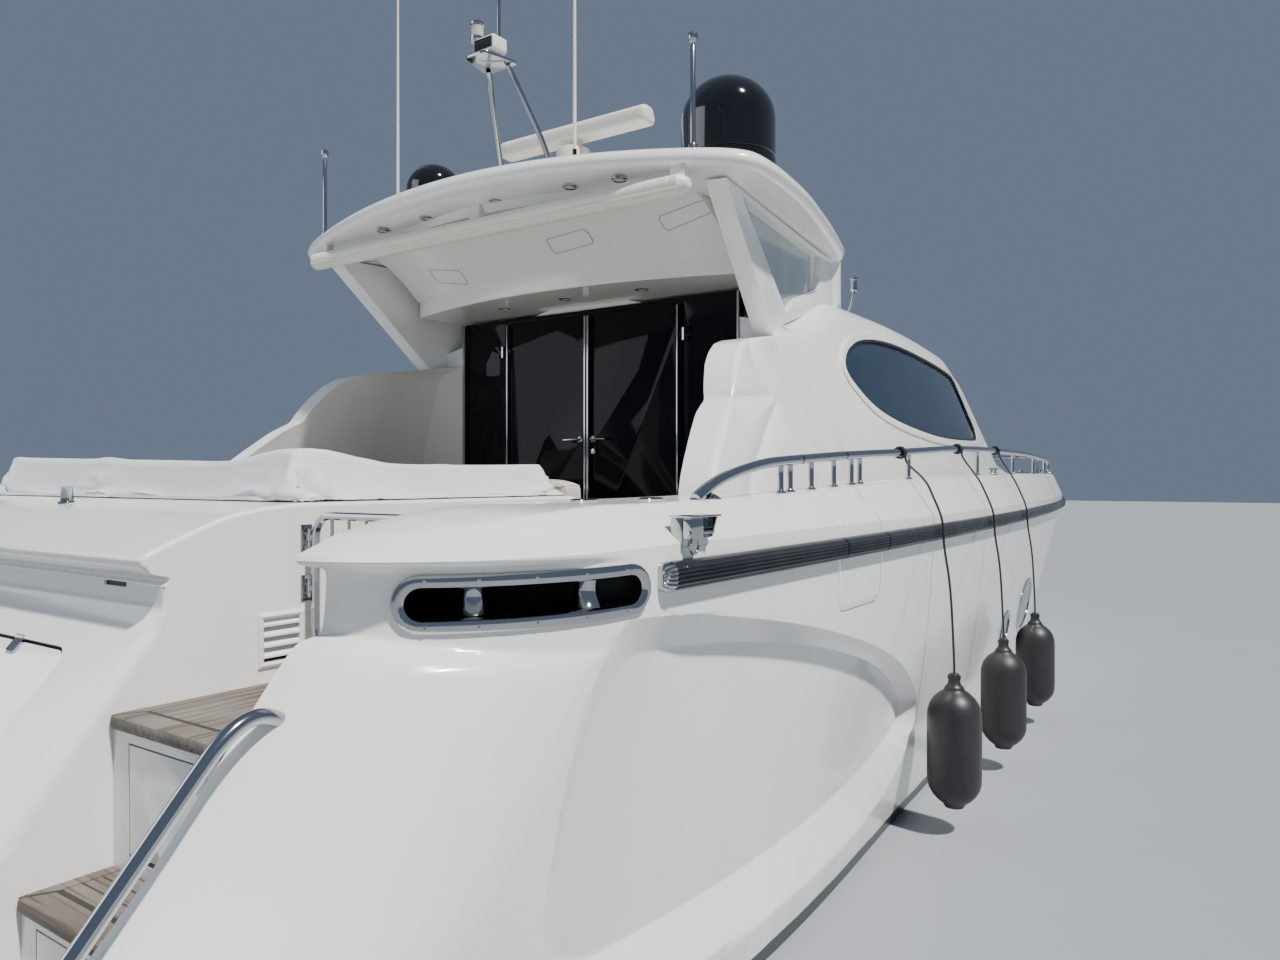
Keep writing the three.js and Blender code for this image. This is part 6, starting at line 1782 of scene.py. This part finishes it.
def make_ports():
    for name, side in SIDES.items():
        for index, (y0, z0, long, high) in enumerate(PORTS):
            loop = [[copysign(abs(share) ** 0.85, share) for share in (cos(a), sin(a))] for a in around(56)]

            def ring(scale, proud):
                places = [(y0 + u * (long + scale), z0 + v * (high + scale)) for u, v in loop]
                return [(side * (side_x(y, z) + proud), y, z) for y, z in places]
            parts = [hoop("port_rim", [ring(*at) for at in ((0.03, -0.012), (0.03, 0.003), (0.024, 0.009),
                (0.01, 0.012), (0.0, 0.009), (-0.004, 0.001), (-0.004, -0.012))])]
            for a in around(12):
                a += pi / 12
                y, z = y0 + cos(a) * (long + 0.016), z0 + sin(a) * (high + 0.016)
                parts.append(spun("screw", (side * (side_x(y, z) + 0.01), y, z), [(4.5, 0), (4, 2),
                    (0, 2.5)], 8, (side, 0, 0)))
            bright(f"port_rim_{name}_{index + 1}", parts)
            pane = skin(f"port_pane_{name}_{index + 1}", [ring(-0.003, -0.01), ring(-0.003, 0.0015),
                ring(-0.02, 0.0022), ring(-high * 0.6, 0.0024)])
            dress(pane, BLUE_GLASS)


make_ports()


# Fittings on the quarters and side decks
def cap_point(side, x, y):
    """The point of the hull's top that lies under a place."""
    found, hit, _, _ = bpy.data.objects["hull_shell"].ray_cast(Vector((side * x, y, 2.6)),
        Vector((0, 0, -1)))
    return Vector(hit) if found else Vector((side * x, y, 1.9))


def make_deck_fittings():
    for name, side in SIDES.items():
        darks = []
        brights = []
        for x, y in ((2.02, -6.47), (2.13, -6.215)):
            at = cap_point(side, x, y)
            outline = [(at.x + 0.036 * cos(a), at.y + 0.058 * sin(a)) for a in around(32)]
            darks.append(chamfered(prism("filler", outline, "Z", at.z - 0.006, at.z + 0.009), 0.005, 3))
            brights.append(ring_tube("filler_ring", [(px, py, at.z + 0.003) for px, py in outline], 0.0035,
                8))
        out = side_x(-6.39, RAIL_Z)
        for part, x0, x1, y0, y1, z0, z1, bevel in (("plate", -0.04, 0.006, -6.47, -6.305, 1.775, 1.87,
                0.004), ("flap", -0.04, 0.056, -6.478, -6.3, 1.872, 1.88, 0.002), ("body", -0.02, 0.045,
                -6.465, -6.395, 1.8, 1.873, 0.008)):
            brights.append(side_block(f"hook_{part}", side, out + x0, out + x1, y0, y1, z0, z1, bevel))
        gusset = [(side * (out + x), z) for x, z in ((-0.02, 1.873), (0.053, 1.873), (0.034, 1.805),
            (-0.02, 1.795))]
        brights.append(prism("hook_gusset", gusset, "Y", -6.33, -6.322))
        pin = side * (out + 0.03)
        brights.append(rod("hook_pin", [(pin, -6.475, 1.822), (pin, -6.315, 1.822)], 0.008, 14))
        ring = [(side * (out + 0.03 + 0.004 * sin(a)), -6.43 + 0.026 * cos(a), 1.784 + 0.03 * sin(a))
            for a in around(24)]
        brights.append(ring_tube("hook_ring", ring, 0.0055, 10))
        dress(joined(f"deck_fillers_{name}", darks), BLACK_GLOSS)
        bright(f"deck_fittings_{name}", brights)
        cleats = []
        for y in (-1.2, 4.2, 7.6):
            x = float(hull_at(y)[6]) - 0.035
            z = cap_point(side, x, y).z
            for dy in (-0.055, 0.055):
                cleats.append(spun("cleat_leg", (side * x, y + dy, z - 0.003), [(20, 0), (18, 8), (11, 16),
                    (10, 42), (0, 44)], 18))
            horns = [(side * x, y + dy, z + dz) for dy, dz in ((-0.125, 0.046), (-0.09, 0.044), (0, 0.04),
                (0.09, 0.044), (0.125, 0.046))]
            cleats.append(pipe("cleat_horns", horns, 0.011, 14))
        bright(f"side_cleats_{name}", cleats)
        lamp = [spun("side_lamp", (side * 1.47, -2.6, 3.352), [(20, 0), (26, 6), (26, 18), (22, 22),
            (22, 78), (26, 82), (26, 96), (16, 104), (0, 106)], 28),
            pipe("lamp_arm", [(side * 1.425, -2.6, 3.205), (side * 1.462, -2.6, 3.285), (side * 1.47, -2.6,
            3.354)], 0.01, 12), spun("lamp_foot", (side * 1.418, -2.6, 3.188), [(30, 0), (30, 6), (16, 16),
            (0, 20)], 24, (side * 0.55, 0, 0.83))]
        bright(f"side_lamp_{name}", lamp)
    socket = spun("ensign_socket", (0.0, -7.25, 1.897), [(34, 0), (34, 6), (24, 12), (21, 60), (24, 66),
        (17, 68), (16, 20)], 28)
    dress(socket, STEEL)
    studs = [spun("cover_stud", (x, -7.085, 1.9135), [(11, 0), (11, 3), (7, 4), (6, 7), (0, 9)], 16)
        for x in spread(-1.05, 1.05, 8)]
    bright("cover_studs", studs)


make_deck_fittings()


# Cushions, with their piping
def cushion(name, low, high, crown=0.25, sides=0.012, power=7.0):
    """A crowned pad: rounded edges, sides that pull in between the corners, and piping at both rims."""
    idle()
    bpy.ops.mesh.primitive_cube_add(size=2)
    obj = bpy.context.object
    obj.name = name
    bpy.ops.object.mode_set(mode="EDIT")
    bpy.ops.mesh.subdivide(number_cuts=23)
    bpy.ops.object.mode_set(mode="OBJECT")
    low, high = Vector(low), Vector(high)
    middle, half = (low + high) / 2, (high - low) / 2

    def placed(p):
        size = (abs(p.x) ** power + abs(p.y) ** power + abs(p.z) ** power) ** (1 / power)
        q = p / size
        pull_x = 1 - sides / half.x * (1 - q.y * q.y)
        pull_y = 1 - sides / half.y * (1 - q.x * q.x)
        thin = 1 - crown * (1 - (1 - abs(q.x) ** 3) * (1 - abs(q.y) ** 3))
        wrinkle = 0.012 * sin(9 * q.x + 4 * q.y) * sin(7 * q.y - 3 * q.x)
        return middle + Vector((half.x * q.x * pull_x, half.y * q.y * pull_y,
            half.z * q.z * (thin + wrinkle)))
    for vertex in obj.data.vertices:
        vertex.co = placed(vertex.co)
    parts = [obj]
    for level in (0.8, -0.8):
        loop = []
        for a in around(120):
            reach = max(abs(cos(a)), abs(sin(a)))
            loop.append(placed(Vector((cos(a) / reach, sin(a) / reach, level))))
        parts.append(ring_tube("piping", loop, 0.0045, 8))
    return joined(name, parts)


def make_cushions():
    seats = []
    base = block("cockpit_sofa_base", (-1.238, -5.594, SOLE_Z + 0.003), (1.238, -4.984, 1.676), 0.018, 4)
    combine(base, [block("toe_room", (-1.3, -5.04, 1.3), (1.3, -4.9, 1.425), 0.0)])
    dress(base, GELCOAT, ["cockpit_sofa"])
    for i, (x0, x1) in enumerate(((-1.228, -0.412), (-0.408, 0.408), (0.412, 1.228))):
        seats.append((cushion(f"cockpit_seat_{i + 1}", (x0, -5.448, 1.672), (x1, -4.975, 1.792)), 0.7,
            "cockpit_sofa"))
        seats.append((cushion(f"cockpit_back_{i + 1}", (x0, -5.592, 1.79), (x1, -5.452, 1.996), 0.12), 0.7,
            "cockpit_sofa"))
    base = block("saloon_sofa_base", (-1.495, -3.495, SOLE_Z + 0.003), (-0.862, -0.905, 1.592), 0.014, 3)
    dress(base, TEAK_ALONG, ["saloon_sofa"])
    for i, (y0, y1) in enumerate(((-3.492, -2.636), (-2.63, -1.774), (-1.768, -0.908))):
        seats.append((cushion(f"saloon_seat_{i + 1}", (-1.33, y0, 1.59), (-0.854, y1, 1.722)), 0.75,
            "saloon_sofa"))
        seats.append((cushion(f"saloon_back_{i + 1}", (-1.494, y0, 1.7), (-1.335, y1, 2.094), 0.1), 0.75,
            "saloon_sofa"))
    for obj, fill, node in seats:
        dress(obj, VINYL, [node], angle=60)


make_cushions()


# Cover over the sunbed: a sheet that hangs over the pads' edges and creases as it settles
SHEET = SimpleNamespace(half_x=1.352, half_y=0.894, y=-6.33, pad_x=1.172, pad_y=0.706, foot=1.9185)


def pad_height(x, y):
    u, v = min(1.0, abs(x) / SHEET.pad_x), min(1.0, abs(y - SHEET.y) / SHEET.pad_y)
    sag = 0.034 * (1 - u ** 4) * (1 - v ** 4)
    peak = 0.052 * exp(-((x - 1.05) / 0.2) ** 2 - ((y + 6.9) / 0.2) ** 2)
    ridge = 0.012 * exp(-((x - 0.15 - 0.5 * (y + 6.3)) / 0.1) ** 2)
    return 2.074 + 0.022 * min(1.0, max(-1.0, -x / 1.1)) - sag + peak + ridge + 0.005 * sin(4.3 * x + 1.7
        * y) * sin(3.1 * y)


def make_cover():
    idle()
    bpy.ops.mesh.primitive_grid_add(x_subdivisions=48, y_subdivisions=32, size=2)
    pad = bpy.context.object
    for vertex in pad.data.vertices:
        u, v = vertex.co.x, vertex.co.y
        edge = max(abs(u), abs(v)) > 0.98
        x, y = u * SHEET.pad_x, SHEET.y + v * SHEET.pad_y
        vertex.co = (x, y, 1.9 if edge else pad_height(x, y))
    idle()
    bpy.ops.mesh.primitive_plane_add(size=4, location=(0, SHEET.y, SHEET.foot - 0.006))
    deck = bpy.context.object
    for obj in (pad, deck):
        obj.modifiers.new("stop", "COLLISION")
        obj.collision.thickness_outer = 0.004
        obj.collision.cloth_friction = 18
    idle()
    bpy.ops.mesh.primitive_grid_add(x_subdivisions=150, y_subdivisions=100, size=2)
    cover = bpy.context.object
    cover.name = "sunbed_cover_cloth"
    for vertex in cover.data.vertices:
        a, b = vertex.co.x * SHEET.half_x, vertex.co.y * SHEET.half_y
        edge_x, edge_y = SHEET.pad_x + 0.006, SHEET.pad_y + 0.006
        over_x, over_y = max(0.0, abs(a) - edge_x), max(0.0, abs(b) - edge_y)
        x = copysign(min(abs(a), edge_x) + 0.16 * over_x, a)
        y = SHEET.y + copysign(min(abs(b), edge_y) + 0.16 * over_y, b)
        vertex.co = (x, y, pad_height(x, y) + 0.01 - 0.9 * hypot(over_x, over_y))
    cloth = cover.modifiers.new("cloth", "CLOTH")
    stuff = cloth.settings
    stuff.quality = 4
    stuff.mass = 0.35
    stuff.tension_stiffness = stuff.compression_stiffness = 14
    stuff.shear_stiffness = 6
    stuff.bending_stiffness = 0.12
    stuff.shrink_min = -0.052
    stuff.air_damping = 2.0
    cloth.collision_settings.distance_min = 0.003
    cloth.collision_settings.collision_quality = 2
    cloth.point_cache.frame_start = 1
    cloth.point_cache.frame_end = 30
    for step in range(1, 31):
        SCENE.frame_set(step)
    active(cover)
    bpy.ops.object.modifier_apply(modifier="cloth")
    SCENE.frame_set(1)
    for obj in (pad, deck):
        bpy.data.objects.remove(obj)
    for vertex in cover.data.vertices:
        x, y, z = vertex.co
        vertex.co = (max(-1.232, min(1.232, x)), max(-7.072, min(-5.603, y)), max(z, SHEET.foot))
    modify(cover, "SMOOTH", factor=0.4, iterations=2)
    modify(cover, "SOLIDIFY", thickness=0.0024, offset=1.0)
    dress(cover, COVER, ["sunbed_cover"], angle=80)


make_cover()


# Saloon floor
def make_saloon_floor():
    edge = [(float(house_at(y)[0]) - WALL - 0.012, y) for y in spread(-3.785, 1.6, 14)]
    dress(prism("saloon_floor", mirrored(edge), "Z", SOLE_Z - 0.004, SOLE_Z + 0.0025), TEAK_ALONG)


make_saloon_floor()


# Helm: console with an instrument hood and screens, and the wheel on its own boss
WHEEL = SimpleNamespace(at=Vector((0.62, -1.195, 2.2)), stand=0.08, r=0.19, rim=0.0155)


def make_helm():
    low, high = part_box("helm_console")
    side = [(-1.348, SOLE_Z + 0.003), (-1.248, 2.15), (-0.9, 2.42), (-0.3, 2.438), (-0.202, 2.2),
        (-0.202, SOLE_Z + 0.003)]
    body = chamfered(prism("helm_console_fine", soft_loop(side, 0.05, 4), "X", low[0] + 0.002,
        high[0] - 0.002), 0.022, 4)
    dress(body, VINYL, ["helm_console"], angle=40)
    axis = Vector((0, -0.92, 0.39)).normalized()
    hub = WHEEL.at + axis * WHEEL.stand
    boss = spun("wheel_boss", hub - axis * 0.13, [(46, 0), (46, 40), (40, 60), (36, 83), (0, 83.5)], 28,
        axis)
    dress(boss, BLACK_GLOSS)
    across = Vector((1, 0, 0))
    up = axis.cross(across)
    circle = [hub + (across * cos(a) + up * sin(a)) * WHEEL.r for a in around(64)]
    rim = ring_tube("wheel_rim", circle, WHEEL.rim, 16)
    dress(rim, RUBBER, ["steering_wheel"], "wheel", angle=60)
    spokes = [spun("wheel_hub", hub - axis * 0.04, [(32, 0), (33, 10), (30, 40), (22, 50), (0, 52)], 28,
        axis)]
    for a in (pi / 2, pi * 7 / 6, -pi / 6):
        way = across * cos(a) + up * -sin(a)
        spokes.append(pipe("spoke", [hub, hub + way * 0.1 - axis * 0.006, hub + way * 0.184], 0.009, 12))
    bright("wheel_spokes", spokes, body="wheel")
    slope = Vector((0, 0.348, 0.27)).normalized()
    out = Vector((0, -slope.z, slope.y))
    for i, x in enumerate((0.36, 0.98)):
        at = Vector((x, -1.05, 2.304))
        rows = []
        for size, rise in ((1.0, -0.006), (1.0, 0.006), (0.96, 0.01), (0.9, 0.01), (0.89, 0.005)):
            rows.append([at + Vector((u * size, 0, 0)) + slope * (v * size) + out * rise
                for u, v in rounded_outline(-0.16, 0.16, -0.11, 0.11, 0.012)])
        dress(skin(f"helm_screen_{i + 1}", rows), BLACK_GLOSS)


make_helm()


# Foredeck: windlass with its chain, bollards and a locker lid
def make_foredeck():
    deck = float(hull_at(7.6)[9])
    base = spun("windlass", (0.0, 8.05, deck + 0.006), [(110, 0), (110, 16), (82, 30), (78, 105), (88, 120),
        (50, 132), (46, 170), (74, 190), (70, 206), (0, 212)], 36)
    chain = []
    for i in range(11):
        y = 8.18 + 0.085 * i
        z = deck + 0.1 + 0.012 * i
        flat = i % 2 == 0
        loop = [(0.024 * cos(a) if flat else 0.0, y + 0.052 * sin(a), z + (0.0 if flat else 0.024 * cos(a)))
            for a in around(20)]
        chain.append(ring_tube("link", loop, 0.0065, 8))
    bright("windlass_and_chain", [base] + chain)
    rods = []
    for side in SIDES.values():
        for dy in (-0.11, 0.11):
            rods.append(spun("bow_bollard", (side * 0.62, 7.55 + dy, deck - 0.002), [(45, 0), (45, 8),
                (30, 16), (26, 110), (36, 130), (34, 142), (0, 146)], 24))
        rods.append(rod("bow_bar", [(side * 0.62, 7.36, deck + 0.085), (side * 0.62, 7.74, deck + 0.085)],
            0.012, 14))
    bright("bow_bollards", rods)
    lid = prism("chain_locker_lid", rounded_outline(-0.24, 0.24, 7.2, 7.72, 0.06), "Z", deck - 0.004,
        deck + 0.016)
    chamfered(lid, 0.008, 3)
    dress(lid, GELCOAT)
    catch = spun("lid_catch", (0.0, 7.27, deck + 0.014), [(28, 0), (28, 4), (22, 6), (0, 5)], 24)
    dress(catch, STEEL)


make_foredeck()


# Pieces whose solids only need finer edges
def make_refined():
    plain = [("door_frame", 0.003, DOOR_GLASS, "root"), ("foredeck_hatch", 0.008, GELCOAT, "hatch"),
        ("anchor", 0.008, STEEL, "root")]
    for name in SIDES:
        plain += [(f"side_screen_{name}", 0.01, GELCOAT, "root"), (f"saloon_door_{name}", 0.003, DOOR_GLASS,
            f"door_{name}"), (f"shaft_{name}", 0.004, DULL_STEEL, "root"), (f"propeller_{name}", 0.005,
            BRONZE, f"prop_{name}"), (f"rudder_{name}", 0.016, BRONZE, f"rudder_{name[0]}")]
        plain += [(f"riser_locker_{level}_{name}", 0.004, GELCOAT, f"locker_{level}_{name}")
            for level in LOCKERS]
    for node, bevel, material, body in plain:
        dress(refined(node, bevel, 3), material, [node], body)


make_refined()


# Camera at the photograph's place: level, 2 m above the water
CAMERA = SimpleNamespace(at=(4.0, -9.0, 2.0), turn=34.6, focal=925.0, horizon=478.0)


def make_camera():
    data = bpy.data.cameras.new("camera")
    data.sensor_width = 36.0
    data.lens = CAMERA.focal * 36.0 / 1280
    data.shift_y = (CAMERA.horizon - 480.0) / 1280
    data.clip_end = 200
    camera = bpy.data.objects.new("camera", data)
    SCENE.collection.objects.link(camera)
    camera.location = CAMERA.at
    camera.rotation_euler = (radians(90), 0, radians(CAMERA.turn))
    SCENE.camera = camera


def make_light(name, kind, energy, at, towards, size=5.0, color=(1, 1, 1)):
    data = bpy.data.lights.new(name, kind)
    data.energy = energy
    data.color = color
    if kind == "AREA":
        data.size = size
    else:
        data.angle = radians(size)
    lamp = bpy.data.objects.new(name, data)
    SCENE.collection.objects.link(lamp)
    lamp.location = at
    lamp.rotation_euler = (Vector(towards) - Vector(at)).to_track_quat("-Z", "Y").to_euler()


def make_studio():
    idle()
    bpy.ops.mesh.primitive_plane_add(size=160, location=(0, 0, 0))
    floor = bpy.context.object
    floor.name = "studio_floor"
    pale = surface("pale_floor", (0.3, 0.325, 0.35), (0.26, 0.285, 0.31), 0.2, 0.6, bump=0.0)[0]
    floor.data.materials.append(pale)
    world = bpy.data.worlds.new("studio")
    world.use_nodes = True
    background = world.node_tree.nodes["Background"]
    background.inputs["Color"].default_value = (0.5, 0.64, 0.88, 1)
    background.inputs["Strength"].default_value = 0.3
    SCENE.world = world
    make_light("key", "SUN", 6.2, (8.2, -5.4, 15), (0, -4, 1), 3.0, (1.0, 0.97, 0.925))
    make_light("fill", "AREA", 420, (-9, -14, 7), (0, -5, 2), 8.0, (0.92, 0.96, 1.0))


make_camera()
make_studio()
